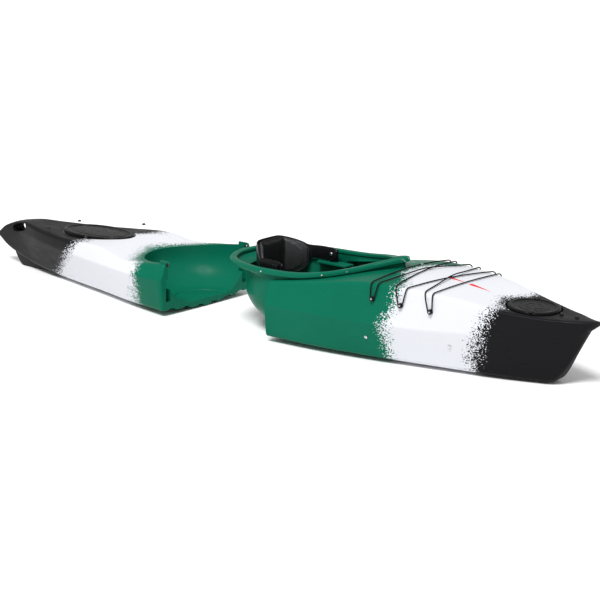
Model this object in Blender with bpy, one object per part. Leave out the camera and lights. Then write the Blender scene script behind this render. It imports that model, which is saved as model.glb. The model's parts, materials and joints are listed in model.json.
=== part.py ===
"""Two-section take-apart kayak, shown with the stern section drawn back from its socket joint.

Frame: metres, +X to the bow, +Y to port, +Z up.  The lines are drawn with X = 0 on the joint
plane of the bow section and Z = 0 on the keel; the last step moves the whole kayak so that its
origin is the bottom centre of its box.
"""
import math

import bmesh
import bpy
from mathutils import Matrix, Vector

# ---------------------------------------------------------------- driving dimensions
WALL = 0.005                # skin of the moulded hulls
CLEAR = 0.0003              # gap between pieces that touch
JOINT_GAP = 0.674           # distance the stern section is drawn back
STERN_LENGTH = 1.520        # joint plane to stern tip
BOW_LENGTH = 1.620          # joint plane to bow tip
SOCKET_CLEAR = 0.005        # play between the bow's barrel and the stern's socket
SOCKET_WIDE = 0.90          # barrel half width over its nominal radius
SOCKET_DEEP = 1.10          # barrel depth over its nominal radius

STEM_FOOT = 1.428           # where the stem's straight rake would meet the keel
STEM_SLOPE = 1.75
STEM_SOFTNESS = 0.020
NOTCH_X = 1.572             # notch under the bow's beak
NOTCH_Z = 0.256
BEAK_SLOPE = 0.72

# Lines of each section: station, then keel height, bottom corner (half width, height),
# chine (half width, height), deck edge (half width, height) and deck centre height.
BOW_LINES = (
    (0.00, 0.000, 0.318, 0.026, 0.330, 0.180, 0.293, 0.286, 0.290),
    (0.30, 0.000, 0.298, 0.021, 0.326, 0.183, 0.296, 0.331, 0.346),
    (0.60, 0.000, 0.253, 0.019, 0.305, 0.187, 0.284, 0.369, 0.388),
    (0.90, 0.000, 0.191, 0.017, 0.256, 0.196, 0.250, 0.362, 0.370),
    (1.20, 0.000, 0.118, 0.012, 0.176, 0.210, 0.182, 0.335, 0.326),
    (1.40, 0.000, 0.050, 0.008, 0.108, 0.228, 0.118, 0.315, 0.309),
    (1.50, 0.000, 0.018, 0.004, 0.066, 0.240, 0.077, 0.306, 0.308),
    (1.56, 0.000, 0.012, 0.003, 0.036, 0.252, 0.047, 0.303, 0.309),
    (1.62, 0.000, 0.010, 0.003, 0.014, 0.296, 0.020, 0.303, 0.311),
)
# The same for the stern, with the station measured aft from the joint plane.
STERN_LINES = (
    (0.00, 0.000, 0.318, 0.028, 0.330, 0.182, 0.296, 0.286, 0.262),
    (0.15, 0.000, 0.285, 0.022, 0.322, 0.183, 0.292, 0.285, 0.245),
    (0.33, 0.000, 0.248, 0.020, 0.303, 0.184, 0.280, 0.284, 0.234),
    (0.50, 0.000, 0.203, 0.019, 0.270, 0.186, 0.253, 0.288, 0.262),
    (0.70, 0.000, 0.156, 0.018, 0.228, 0.188, 0.215, 0.284, 0.257),
    (0.90, 0.000, 0.111, 0.018, 0.180, 0.190, 0.170, 0.272, 0.250),
    (1.10, 0.010, 0.072, 0.026, 0.125, 0.192, 0.115, 0.263, 0.252),
    (1.30, 0.045, 0.040, 0.056, 0.058, 0.190, 0.052, 0.248, 0.252),
    (1.45, 0.090, 0.016, 0.097, 0.026, 0.172, 0.026, 0.202, 0.208),
    (1.52, 0.135, 0.008, 0.138, 0.011, 0.148, 0.011, 0.158, 0.161),
)
# Barrel and socket: height, and nominal radius at that height.
BARREL_PROFILE = (
    (0.045, 0.150), (0.052, 0.190), (0.085, 0.243), (0.130, 0.281),
    (0.180, 0.300), (0.240, 0.300), (0.288, 0.294),
)
# Coaming, half of its outer edge seen from above, and the height of its top over that length.
COAMING_EDGE = (
    (-0.412, 0.000), (-0.392, 0.110), (-0.315, 0.215), (-0.150, 0.277), (0.060, 0.286),
    (0.220, 0.268), (0.335, 0.218), (0.450, 0.128), (0.545, 0.045), (0.590, 0.000),
)
COAMING_TOP = (
    (-0.412, 0.336), (-0.200, 0.333), (0.000, 0.335), (0.140, 0.342),
    (0.270, 0.360), (0.400, 0.386), (0.520, 0.420), (0.590, 0.440),
)
COAMING_STEPS = 44
COAMING_FOCI = (-0.150, 0.300)    # the outline is inset towards the line between these stations
LIP_WIDTH = 0.034
LIP_THICK = 0.018
RISER_INSET = 0.024

BOW_HATCH_HOLE = 0.092
BOW_HATCH_CENTRE = Vector((1.280, 0.0, 0.3030))    # centre of the flat the rim stands on
BOW_HATCH_AXIS = Vector((0.075, 0.0, 1.0))
BOW_HATCH_RIM = 0.127
STERN_HATCH_AFT = 0.760
STERN_HATCH_HALF_LENGTH = 0.232
STERN_HATCH_HALF_WIDTH = 0.136
STERN_HATCH_RISE = -0.009     # flat that the rim stands on, over the deck
COLLAR_WALL = 0.006           # wall round the well that a hatch is sunk in
HATCH_FLANGE = 0.036        # outer edge of a hatch rim to the hole in the deck
STERN_FRONT = ((0.0, 0.011), (0.003, 0.005), (0.009, 0.001), (0.016, 0.0))   # station and inset
SCALLOPS = (-0.2475, -0.1485, -0.0495, 0.0495, 0.1485, 0.2475)
TONGUE_EYE = (0.008 - JOINT_GAP, 0.256)     # station and height of the hole in each locking tongue
TONGUE_RADIUS = 0.0155
GRAB_SLOT_AFT = 1.305
GRAB_SLOT_HEIGHT = 0.218
GRAB_SLOT_HALF_LENGTH = 0.070
GRAB_SLOT_HALF_HEIGHT = 0.021
GRAB_SLOT_TILT = math.radians(14)

PIVOT = Vector((-0.035, 0.196, 0.325))      # backrest pivot, port side
# Backrest, from the middle to the port side: station, half width, lowest and highest point.
BACKREST_SHELL = (
    (-0.2640, 0.000, 0.205, 0.406), (-0.2640, 0.055, 0.205, 0.405), (-0.2610, 0.086, 0.206, 0.400),
    (-0.2370, 0.109, 0.210, 0.393), (-0.2100, 0.136, 0.214, 0.382), (-0.1850, 0.158, 0.228, 0.369),
    (-0.1680, 0.172, 0.255, 0.358), (-0.1500, 0.184, 0.290, 0.354), (-0.0900, 0.193, 0.289, 0.356),
    (-0.0350, 0.196, 0.290, 0.354), (-0.0150, 0.196, 0.302, 0.350), (-0.0040, 0.196, 0.311, 0.342),
)
BACKREST_PAD = (
    (-0.2520, 0.000, 0.213, 0.404), (-0.2520, 0.053, 0.213, 0.403), (-0.2500, 0.080, 0.214, 0.399),
    (-0.2289, 0.1005, 0.218, 0.392), (-0.2020, 0.1277, 0.222, 0.381), (-0.1776, 0.1493, 0.236, 0.366),
    (-0.1612, 0.1628, 0.262, 0.345),
)
FITTING_X = (0.614, 0.761, 0.908)
FITTING_HEIGHTS = ((0.60, 0.302), (0.76, 0.292), (0.92, 0.283))
COAMING_SCREW_X = (-0.050, 0.290, 0.370)
RAIL_BOLTS = ((0.574, 0.118), (0.985, 0.132))   # station and height on the lower side panels
BOLT_RADIUS = 0.004
BOLT_HOLE = 0.0046
CORD_RADIUS = 0.003
CORD_HEIGHT = 0.0085        # centre of the cord above the side panel at a fitting
CORD_LIFT = 0.0035          # gap between the cord and the deck's nominal surface
CORD_TURN = 0.0100          # radius of the cord's half turn round a fitting
CRIMP_POINT = 11            # the crimp that closes the cord's loop sits after this point of it

GREEN = (0.010, 0.150, 0.082, 1.0)
WHITE = (0.80, 0.81, 0.84, 1.0)
BLACK = (0.022, 0.022, 0.023, 1.0)
GREY = (0.16, 0.16, 0.17, 1.0)
STEEL = (0.62, 0.62, 0.63, 1.0)


# ---------------------------------------------------------------- small helpers
def material(name, colour, roughness, metallic=0.0):
    """A plain Principled material."""
    mat = bpy.data.materials.new(name)
    mat.use_nodes = True
    shader = mat.node_tree.nodes["Principled BSDF"]
    shader.inputs["Base Color"].default_value = colour
    shader.inputs["Roughness"].default_value = roughness
    shader.inputs["Metallic"].default_value = metallic
    return mat


def smooth_line(points, x):
    """Height at x of a smooth curve through (x, value) points."""
    last = len(points) - 1
    x = min(max(x, points[0][0]), points[last][0])
    i = 0
    while i < last - 1 and x > points[i + 1][0]:
        i += 1

    def slope(k):
        low, high = max(k - 1, 0), min(k + 1, last)
        return (points[high][1] - points[low][1]) / (points[high][0] - points[low][0])

    x0, y0 = points[i]
    x1, y1 = points[i + 1]
    run = x1 - x0
    t = (x - x0) / run
    return ((2 * t**3 - 3 * t**2 + 1) * y0 + (t**3 - 2 * t**2 + t) * run * slope(i)
            + (-2 * t**3 + 3 * t**2) * y1 + (t**3 - t**2) * run * slope(i + 1))


def lines_at(lines, station):
    """All eight offsets of a table of lines at one station."""
    return [smooth_line([(row[0], row[k]) for row in lines], station) for k in range(1, 9)]


def new_object(name, bm, mat):
    """An object from a bmesh, with flat triangles for faces, all turned outward."""
    bmesh.ops.triangulate(bm, faces=bm.faces)
    bmesh.ops.recalc_face_normals(bm, faces=bm.faces)
    mesh = bpy.data.meshes.new(name)
    bm.to_mesh(mesh)
    bm.free()
    mesh.shade_smooth()
    mesh.set_sharp_from_angle(angle=math.radians(32))
    obj = bpy.data.objects.new(name, mesh)
    obj.data.materials.append(mat)
    bpy.context.collection.objects.link(obj)
    return obj


def loft(name, rings, mat):
    """A closed solid through equal rings, capped at both ends."""
    bm = bmesh.new()
    rows = [[bm.verts.new(point) for point in ring] for ring in rings]
    count = len(rows[0])
    for row, following in zip(rows, rows[1:]):
        for k in range(count):
            bm.faces.new((row[k], row[(k + 1) % count], following[(k + 1) % count], following[k]))
    bm.faces.new(rows[0])
    bm.faces.new(rows[-1])
    return new_object(name, bm, mat)


def closed_sweep(name, rings, mat):
    """A closed solid swept right round, so that its last ring joins its first."""
    bm = bmesh.new()
    rows = [[bm.verts.new(point) for point in ring] for ring in rings]
    count = len(rows[0])
    for row, following in zip(rows, rows[1:] + rows[:1]):
        for k in range(count):
            bm.faces.new((row[k], row[(k + 1) % count], following[(k + 1) % count], following[k]))
    return new_object(name, bm, mat)


def prism(name, outline, low, high, mat):
    """A straight prism over an outline in X and Y."""
    return loft(name, [[Vector((x, y, z)) for x, y in outline] for z in (low, high)], mat)


def side_plate(name, outline, low, high, mat):
    """A plate over an outline in X and Z, from Y = low to Y = high."""
    return loft(name, [[Vector((x, y, z)) for x, z in outline] for y in (low, high)], mat)


def box(name, low, high, mat):
    outline = ((low[0], low[1]), (high[0], low[1]), (high[0], high[1]), (low[0], high[1]))
    return prism(name, outline, low[2], high[2], mat)


def oval(half_length, half_width, steps=28):
    """Outline of the stern hatch or of a ring in it."""
    points = []
    for k in range(steps):
        angle = math.tau * k / steps
        points.append((-JOINT_GAP - STERN_HATCH_AFT + half_length * math.cos(angle),
                       half_width * math.sin(angle)))
    return points


def rod(name, start, end, radius, mat, sides=12):
    """A plain round bar between two points."""
    start, end = Vector(start), Vector(end)
    turn = (end - start).to_track_quat("Z", "Y").to_matrix()
    rings = []
    for centre in (start, end):
        circle = []
        for k in range(sides):
            angle = math.tau * k / sides
            circle.append(centre + turn @ Vector((radius * math.cos(angle), radius * math.sin(angle), 0)))
        rings.append(circle)
    return loft(name, rings, mat)


def turned(name, centre, axis, profile, mat, sides=16, stretch=(1.0, 1.0)):
    """A turned solid: profile is a closed loop of (radius, height along the axis)."""
    turn = Vector(axis).to_track_quat("Z", "Y").to_matrix()
    solid = all(radius > 0 for radius, _ in profile)
    rings = []
    for k in range(sides):
        angle = math.tau * k / sides
        ring = []
        for radius, height in profile:
            local = Vector((stretch[0] * radius * math.cos(angle), stretch[1] * radius * math.sin(angle), height))
            ring.append(Vector(centre) + turn @ local)
        rings.append(ring)
    if solid:
        return closed_sweep(name, rings, mat)
    levels = [[ring[k] for ring in rings] for k, (radius, _) in enumerate(profile) if radius > 0]
    return loft(name, levels, mat)


def boolean(obj, other, operation):
    """Adds a boolean of two closed shapes; the other shape becomes a hidden cutter."""
    other.hide_render = True
    other.display_type = "WIRE"
    modifier = obj.modifiers.new(operation.lower(), "BOOLEAN")
    modifier.operation = operation
    modifier.object = other
    modifier.solver = "MANIFOLD"


def cut(obj, other):
    boolean(obj, other, "DIFFERENCE")


def join(obj, other):
    boolean(obj, other, "UNION")


def carried_by(name, place, carried):
    """An empty on a joint's axis, which carries the moving pieces without shifting them."""
    empty = bpy.data.objects.new(name, None)
    empty.empty_display_size = 0.05
    empty.location = place
    bpy.context.collection.objects.link(empty)
    for obj in carried:
        obj.parent = empty
        obj.matrix_parent_inverse = Matrix.Translation(-Vector(place))
    return empty


# ---------------------------------------------------------------- hull lines
def stem_height(x):
    """Height of the bow's keel line: flat, then raked stem, then the underside of the beak."""
    rise = STEM_SLOPE * STEM_SOFTNESS * math.log1p(math.exp((x - STEM_FOOT) / STEM_SOFTNESS))
    if x < NOTCH_X:
        return min(rise, NOTCH_Z)
    return NOTCH_Z + BEAK_SLOPE * (x - NOTCH_X)


def rounded(points, radii, steps):
    """Replaces each inner corner of a polyline by a short curve."""
    result = [points[0]]
    for k in range(1, len(points) - 1):
        corner = Vector(points[k])
        before = Vector(points[k - 1]) - corner
        after = Vector(points[k + 1]) - corner
        reach_in = min(radii[k - 1], 0.4 * before.length)
        reach_out = min(radii[k - 1], 0.4 * after.length)
        first = corner + before.normalized() * reach_in
        last = corner + after.normalized() * reach_out
        for s in range(steps[k - 1] + 1):
            t = s / steps[k - 1]
            result.append(tuple(first * (1 - t) ** 2 + corner * 2 * t * (1 - t) + last * t * t))
    result.append(points[-1])
    return result


def section(x, offsets, inset):
    """One closed hull section as a ring of points, drawn inset from the outer lines."""
    keel, bottom_w, bottom_z, chine_w, chine_z, edge_w, edge_z, deck = offsets
    keel += inset
    deck -= inset
    slim = 0.004
    bottom = (max(bottom_w - inset, slim), max(bottom_z + inset, keel + 0.002))
    edge = (max(edge_w - inset, slim + 0.002), max(min(edge_z - inset, deck), keel + 0.010))
    chine_low = bottom[1] + 0.3 * (edge[1] - bottom[1])
    chine = (max(chine_w - inset, slim + 0.001), min(max(chine_z, chine_low), edge[1] - 0.004))
    crown = (0.5 * edge[0], edge[1] + 0.82 * (deck - edge[1]))
    side = rounded([(0.0, keel), bottom, chine, edge, crown, (0.0, deck)],
                   (0.022, 0.008, 0.020, 0.060), (2, 1, 2, 2))
    starboard = [Vector((x, -y, z)) for y, z in side]
    port = [Vector((x, y, z)) for y, z in reversed(side[1:-1])]
    return starboard + port


def bow_section(x, inset=0.0):
    offsets = lines_at(BOW_LINES, x)
    rise = stem_height(x)
    offsets[0] = rise
    offsets[2] = max(offsets[2], rise + 0.003)
    offsets[4] = max(offsets[4], rise + 0.015)
    return section(x, offsets, inset)


def stern_section(aft, inset=0.0):
    offsets = lines_at(STERN_LINES, aft)
    offsets[0] = max(offsets[0], 0.0)
    return section(-JOINT_GAP - aft, offsets, inset)


def stern_front():
    """The first sections of the stern, whose front edge is rounded."""
    return [stern_section(aft, inset) for aft, inset in STERN_FRONT]


def bow_deck_height(x, y):
    """Top of the bow's deck at a point."""
    offsets = lines_at(BOW_LINES, x)
    edge_w, edge_z, deck = offsets[5:8]
    share = min(abs(y) / edge_w, 1.0)
    return deck - (deck - edge_z) * share ** 2


def stern_deck_height(aft, y):
    offsets = lines_at(STERN_LINES, aft)
    edge_w, edge_z, deck = offsets[5:8]
    share = min(abs(y) / edge_w, 1.0)
    return deck - (deck - edge_z) * share ** 2


def side_surface(x, height):
    """Half width of the bow's side at a height, on the lower or the upper panel."""
    offsets = lines_at(BOW_LINES, x)
    bottom_w, bottom_z, chine_w, chine_z, edge_w, edge_z = offsets[1:7]
    if height < chine_z:
        return bottom_w + (chine_w - bottom_w) * (height - bottom_z) / (chine_z - bottom_z)
    return chine_w + (edge_w - chine_w) * (height - chine_z) / (edge_z - chine_z)


def on_side(x, height, side):
    """A point on the bow's side panel and its outward direction."""
    step = 0.01
    width = side_surface(x, height)
    across = Vector((0, side_surface(x, height + step) - side_surface(x, height - step), 2 * step))
    along = Vector((2 * step, side_surface(x + step, height) - side_surface(x - step, height), 0))
    normal = across.cross(along).normalized()
    return Vector((x, side * width, height)), Vector((normal.x, side * normal.y, normal.z))


def barrel_ring(height, radius, grow, centre_x):
    """Plan ellipse of the barrel or socket at one height."""
    ring = []
    for x, y, _ in coaming_outline(0.0):
        angle = math.atan2(y, x)
        ring.append(Vector((centre_x + (radius * SOCKET_DEEP + grow) * math.cos(angle),
                            (radius * SOCKET_WIDE + grow) * math.sin(angle), height)))
    return ring


def coaming_outline(inset):
    """Points round the coaming, inset from its outer edge, with the height of its top."""
    half = [Vector((x, y)) for x, y in COAMING_EDGE]
    loop = half + [Vector((p.x, -p.y)) for p in reversed(half[1:-1])]
    count = len(loop)
    fine = []
    per_span = 8
    for i in range(count):
        a, b, c, d = (loop[(i + k) % count] for k in (-1, 0, 1, 2))
        for s in range(per_span):
            t = s / per_span
            fine.append(0.5 * ((2 * b) + (c - a) * t + (2 * a - 5 * b + 4 * c - d) * t * t
                               + (3 * b - a - 3 * c + d) * t ** 3))
    lengths = [0.0]
    for p, q in zip(fine, fine[1:] + fine[:1]):
        lengths.append(lengths[-1] + (q - p).length)
    total = lengths[-1]
    points = []
    k = 0
    for step in range(COAMING_STEPS):
        target = total * step / COAMING_STEPS
        while lengths[k + 1] <= target:
            k += 1
        share = (target - lengths[k]) / (lengths[k + 1] - lengths[k])
        points.append(fine[k].lerp(fine[(k + 1) % len(fine)], share))
    result = []
    for point in points:
        anchor = Vector((min(max(point.x, COAMING_FOCI[0]), COAMING_FOCI[1]), 0.0))
        moved = point + (anchor - point).normalized() * inset
        result.append(Vector((moved.x, moved.y, smooth_line(COAMING_TOP, point.x))))
    return result


# ---------------------------------------------------------------- bow section
def span(low, high, count):
    return [low + (high - low) * k / (count - 1) for k in range(count)]


def barrel(name, inset, top, mat):
    """Round rear end of the bow section, flared out at the top to carry the coaming."""
    rings = []
    for height, radius in BARREL_PROFILE:
        low = inset if height == BARREL_PROFILE[0][0] else 0.0
        rings.append(barrel_ring(height + low, radius, -inset, 0.0))
    neck = rings[-1]
    riser = coaming_outline(RISER_INSET + inset)
    for share, height in ((0.45, 0.296), (0.85, 0.304), (1.0, 0.312)):
        rings.append([Vector((*n.lerp(r, share).xy, height + inset)) for n, r in zip(neck, riser)])
    rings.append([Vector((p.x, p.y, p.z + top)) for p in riser])
    return loft(name, rings, mat)


def build_bow_hull(mat):
    stations = span(0.0, 1.38, 12) + [1.42, 1.45, 1.48, 1.52, 1.555, 1.57, 1.58, BOW_LENGTH]
    hull = loft("bow_hull", [bow_section(x) for x in stations], mat)
    join(hull, barrel("bow_barrel_outer", 0.0, -LIP_THICK / 2, mat))

    lip = []
    loops = [(coaming_outline(inset), drop) for inset, drop in (
        (0.004, 0.0), (0.0, 0.004), (0.0, LIP_THICK + 0.006), (0.006, LIP_THICK + 0.006),
        (0.009, LIP_THICK), (LIP_WIDTH, LIP_THICK), (LIP_WIDTH, 0.002))]
    for k in range(COAMING_STEPS):
        lip.append([Vector((loop[k].x, loop[k].y, loop[k].z - drop)) for loop, drop in loops])
    join(hull, closed_sweep("bow_coaming_lip", lip, mat))

    hollow = [x for x in stations if x < 1.46]
    hollow[0] = WALL
    cut(hull, loft("bow_hollow", [bow_section(x, WALL) for x in hollow], mat))
    cut(hull, barrel("bow_cockpit_opening", WALL, 0.030, mat))
    reach = BOW_HATCH_RIM + COLLAR_WALL
    collar = turned("bow_hatch_collar", BOW_HATCH_CENTRE, BOW_HATCH_AXIS,
                    [(0, -0.012), (reach, -0.012), (reach, 0.06), (0, 0.06)], mat, sides=28)
    boolean(collar, loft("bow_collar_limit", [bow_section(x) for x in stations], mat), "INTERSECT")
    join(hull, collar)
    cut(hull, turned("bow_hatch_well", BOW_HATCH_CENTRE, BOW_HATCH_AXIS,
                     [(0, 0), (BOW_HATCH_RIM, 0), (BOW_HATCH_RIM, 0.07), (0, 0.07)], mat, sides=28))
    cut(hull, turned("bow_hatch_hole", BOW_HATCH_CENTRE, BOW_HATCH_AXIS,
                     [(0, -0.08), (BOW_HATCH_HOLE, -0.08), (BOW_HATCH_HOLE, 0.03), (0, 0.03)], mat, sides=28))
    for side in (-1, 1):
        for x, z in RAIL_BOLTS:
            foot, normal = on_side(x, z, side)
            cut(hull, rod("rail_bolt_hole", foot - normal * 0.012, foot + normal * 0.012, BOLT_HOLE, mat))
    for side in (-1, 1):
        low, high = sorted((side * 0.2685, side * 0.2925))
        join(hull, box("tongue_pocket_wall", (0.001, low, 0.2345), (0.0340, high, 0.2775), mat))
        low, high = sorted((side * 0.2735, side * 0.2875))
        cut(hull, box("tongue_pocket", (-0.010, low, 0.2385), (0.0290, high, 0.2735), mat))
    return hull


def build_bow_bulkhead(mat):
    """Foam bulkhead between the footwell and the bow compartment."""
    gap = WALL + 0.0035
    return loft("bow_bulkhead", [bow_section(x, gap) for x in (1.090, 1.120)], mat)


# ---------------------------------------------------------------- stern section
def build_stern_hull(mat):
    stations = span(0.085, 0.34, 4) + span(0.42, 1.10, 8) + [1.18, 1.25, 1.32, 1.39, 1.44, 1.48, 1.505, STERN_LENGTH]
    hull = loft("stern_hull", stern_front() + [stern_section(aft) for aft in stations], mat)

    hollow = loft("stern_hollow", [stern_section(aft, WALL) for aft in
                                   [0.10, 0.17, 0.25, 0.34] + [a for a in stations if 0.34 < a < 1.20]], mat)
    bulkhead = [barrel_ring(z - (SOCKET_CLEAR + WALL if z < 0.05 else 0.0), r, SOCKET_CLEAR + WALL, -JOINT_GAP)
                for z, r in BARREL_PROFILE]
    bulkhead.append([p + Vector((0, 0, 0.05)) for p in bulkhead[-1]])
    cut(hollow, loft("socket_wall", bulkhead, mat))
    cut(hull, hollow)

    socket = [barrel_ring(z - (SOCKET_CLEAR if z < 0.05 else 0.0), r, SOCKET_CLEAR, -JOINT_GAP)
              for z, r in BARREL_PROFILE]
    socket.append([p + Vector((0, 0, 0.05)) for p in socket[-1]])
    cut(hull, loft("socket_space", socket, mat))

    deck = stern_deck_height(STERN_HATCH_AFT, 0)
    flat = deck + STERN_HATCH_RISE
    reach = oval(STERN_HATCH_HALF_LENGTH + COLLAR_WALL, STERN_HATCH_HALF_WIDTH + COLLAR_WALL)
    collar = prism("stern_hatch_collar", reach, flat - 0.012, flat + 0.06, mat)
    boolean(collar, loft("stern_collar_limit", [stern_section(aft) for aft in stations], mat), "INTERSECT")
    join(hull, collar)
    well = oval(STERN_HATCH_HALF_LENGTH, STERN_HATCH_HALF_WIDTH)
    cut(hull, prism("stern_hatch_well", well, flat, flat + 0.07, mat))
    hole = oval(STERN_HATCH_HALF_LENGTH - HATCH_FLANGE, STERN_HATCH_HALF_WIDTH - HATCH_FLANGE)
    cut(hull, prism("stern_hatch_hole", hole, deck - 0.060, deck + 0.060, mat))

    slot = []
    for k in range(16):
        angle = math.tau * k / 16
        along = GRAB_SLOT_HALF_LENGTH * abs(math.cos(angle)) ** 0.6 * math.copysign(1, math.cos(angle))
        across = GRAB_SLOT_HALF_HEIGHT * abs(math.sin(angle)) ** 0.7 * math.copysign(1, math.sin(angle))
        point = Matrix.Rotation(GRAB_SLOT_TILT, 2) @ Vector((along, across))
        slot.append((-JOINT_GAP - GRAB_SLOT_AFT + point.x, GRAB_SLOT_HEIGHT + point.y))
    cut(hull, side_plate("grab_slot", slot, -0.12, 0.12, mat))

    for y in SCALLOPS:
        rise = 0.028 * abs(y) / 0.318
        cut(hull, rod("lip_scallop", (-JOINT_GAP - 0.060, y, rise - 0.042), (-JOINT_GAP + 0.01, y, rise - 0.036),
                      0.050, mat, sides=32))
    for side in (-1, 1):
        low, high = sorted((side * 0.256, side * 0.290))
        cut(hull, box("key_groove", (-JOINT_GAP - 0.030, low, 0.070), (-JOINT_GAP + 0.01, high, 0.182), mat))
    return hull


# ---------------------------------------------------------------- fittings
def stacked_oval(profile):
    """Rings on the stern hatch's oval, one for each (inset, height) of a profile."""
    base = stern_deck_height(STERN_HATCH_AFT, 0) + STERN_HATCH_RISE
    rings = []
    for inset, height in profile:
        outline = oval(STERN_HATCH_HALF_LENGTH - inset, STERN_HATCH_HALF_WIDTH - inset)
        rings.append([Vector((x, y, base + height)) for x, y in outline])
    return rings


def build_bow_hatch(mat, seal):
    """Screwed rim, seal and rubber lid of the round bow hatch."""
    def on_seat(name, profile, colour, sides=28):
        return turned(name, BOW_HATCH_CENTRE, BOW_HATCH_AXIS, profile, colour, sides=sides)

    on_seat("bow_hatch_rim", [(0.0935, CLEAR), (0.1260, CLEAR), (0.1250, 0.004), (0.1010, 0.005),
                              (0.1000, 0.014), (0.0935, 0.014)], mat)
    on_seat("bow_hatch_seal", [(0.0945, 0.0143), (0.0990, 0.0143), (0.0990, 0.0165), (0.0945, 0.0165)], seal)
    lid = on_seat("bow_hatch_lid", [(0, 0.0170), (0.060, 0.0170), (0.1015, 0.0170), (0.1015, 0.0058), (0.1170, 0.0058),
                                    (0.1180, 0.0160), (0.1120, 0.0240), (0.0980, 0.0240), (0.0930, 0.0205),
                                    (0.0400, 0.0215), (0, 0.0215)], mat)
    for turn in (math.radians(-62), math.radians(118)):
        reach = Matrix.Rotation(turn, 3, "Z") @ Vector((0.107, 0, 0))
        low = BOW_HATCH_CENTRE + reach + Vector((-0.012, -0.012, 0.0180))
        high = BOW_HATCH_CENTRE + reach + Vector((0.012, 0.012, 0.0275))
        tilt = Vector((0, 0, -0.075 * reach.x))
        join(lid, box("bow_lid_tab", low + tilt, high + tilt, mat))
    carried_by("bow_lid_axis", BOW_HATCH_CENTRE, [lid])


def build_stern_hatch(mat, seal):
    """Screwed rim, seal and rubber lid of the oval stern hatch."""
    rim = stacked_oval([(0.0345, CLEAR), (0.001, CLEAR), (0.002, 0.004), (0.027, 0.005), (0.028, 0.014),
                        (0.0345, 0.014)])
    frame = closed_sweep("stern_hatch_rim", transpose(rim), mat)
    ring = stacked_oval([(0.0335, 0.0143), (0.029, 0.0143), (0.029, 0.0165), (0.0335, 0.0165)])
    gasket = closed_sweep("stern_hatch_seal", transpose(ring), seal)
    lid = stacked_oval([(0.060, 0.0170), (0.0265, 0.0170), (0.0265, 0.0058), (0.010, 0.0058), (0.009, 0.0150),
                        (0.015, 0.0225), (0.029, 0.0225), (0.034, 0.0190), (0.080, 0.0215)])
    cover = loft("stern_hatch_lid", lid, mat)
    deck = stern_deck_height(STERN_HATCH_AFT, 0)
    carried_by("stern_lid_axis", (-JOINT_GAP - STERN_HATCH_AFT, 0.0, deck), [cover])
    return [frame, gasket]


def transpose(rings):
    """Turns rings stacked by profile point into rings stacked along the outline."""
    return [list(ring) for ring in zip(*rings)]


def build_fin(mat):
    """Fixed tracking fin under the stern."""
    edge = [(1.398, 0.066), (1.364, 0.018), (1.345, 0.004), (1.325, 0.0), (1.100, 0.0)]
    top = []
    for aft in (1.100, 1.160, 1.220, 1.280, 1.340, 1.370):
        top.append((aft, lines_at(STERN_LINES, aft)[0] - 0.0010))
    outline = [(-JOINT_GAP - aft, z) for aft, z in edge + top]
    return side_plate("tracking_fin", outline, -0.006, 0.006, mat)


def build_seat(green, foam):
    """Seat tray, the side panels with their shelves that stand on its rims, and the foam block under it."""
    half = ((0.0, 0.0600), (0.135, 0.0620), (0.160, 0.0720), (0.172, 0.0840), (0.178, 0.1000), (0.172, 0.1000),
            (0.1672, 0.0860), (0.156, 0.0770), (0.133, 0.0660), (0.0, 0.0660))
    rings = []
    for x, share, lift in ((-0.138, 0.90, 0.0), (-0.110, 1.0, 0.0), (0.090, 1.0, 0.0), (0.200, 1.0, 0.003),
                           (0.280, 1.0, 0.009)):
        mirrored = [(-y, z) for y, z in reversed(half[1:-1])]
        rings.append([Vector((x, y * share, z + lift)) for y, z in list(half) + mirrored])
    loft("seat_pan", rings, green)
    for side, word in ((-1, "starboard"), (1, "port")):
        rings = []
        for x, foot, top, shelf in ((-0.180, 0.158, 0.196, 0.188), (-0.125, 0.180, 0.222, 0.208),
                                    (-0.105, 0.182, 0.228, 0.165), (0.072, 0.182, 0.228, 0.165)):
            waist = foot + 0.52 * (top - foot)
            ring = ((foot, 0.1005), (waist, 0.1600), (top, 0.2830), (shelf, 0.2830), (shelf, 0.2770),
                    (top - 0.006, 0.2770), (waist - 0.006, 0.1630), (foot - 0.006, 0.1005))
            rings.append([Vector((x, side * y, z)) for y, z in ring])
        loft("seat_side_" + word, rings, green)
    return box("seat_foam_block", (0.010, -0.115, 0.0165), (0.190, 0.115, 0.0597), foam)


def wall_along(name, path, thickness, mat):
    """Upright sheet along a path of (x, y, bottom, top), mirrored to both sides."""
    full = [(x, -y, low, high) for x, y, low, high in reversed(path[1:])] + list(path)
    rings = []
    for k, (x, y, low, high) in enumerate(full):
        before = full[max(k - 1, 0)]
        after = full[min(k + 1, len(full) - 1)]
        along = Vector((after[0] - before[0], after[1] - before[1], 0)).normalized()
        out = Vector((along.y, -along.x, 0)) * (thickness / 2)
        soft = 0.004
        centre = Vector((x, y, 0))
        rings.append([centre + out + Vector((0, 0, low + soft)), centre + out + Vector((0, 0, high - soft)),
                      centre + out * 0.3 + Vector((0, 0, high)), centre - out * 0.3 + Vector((0, 0, high)),
                      centre - out + Vector((0, 0, high - soft)), centre - out + Vector((0, 0, low + soft)),
                      centre - out * 0.3 + Vector((0, 0, low)), centre + out * 0.3 + Vector((0, 0, low))])
    return loft(name, rings, mat)


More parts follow.
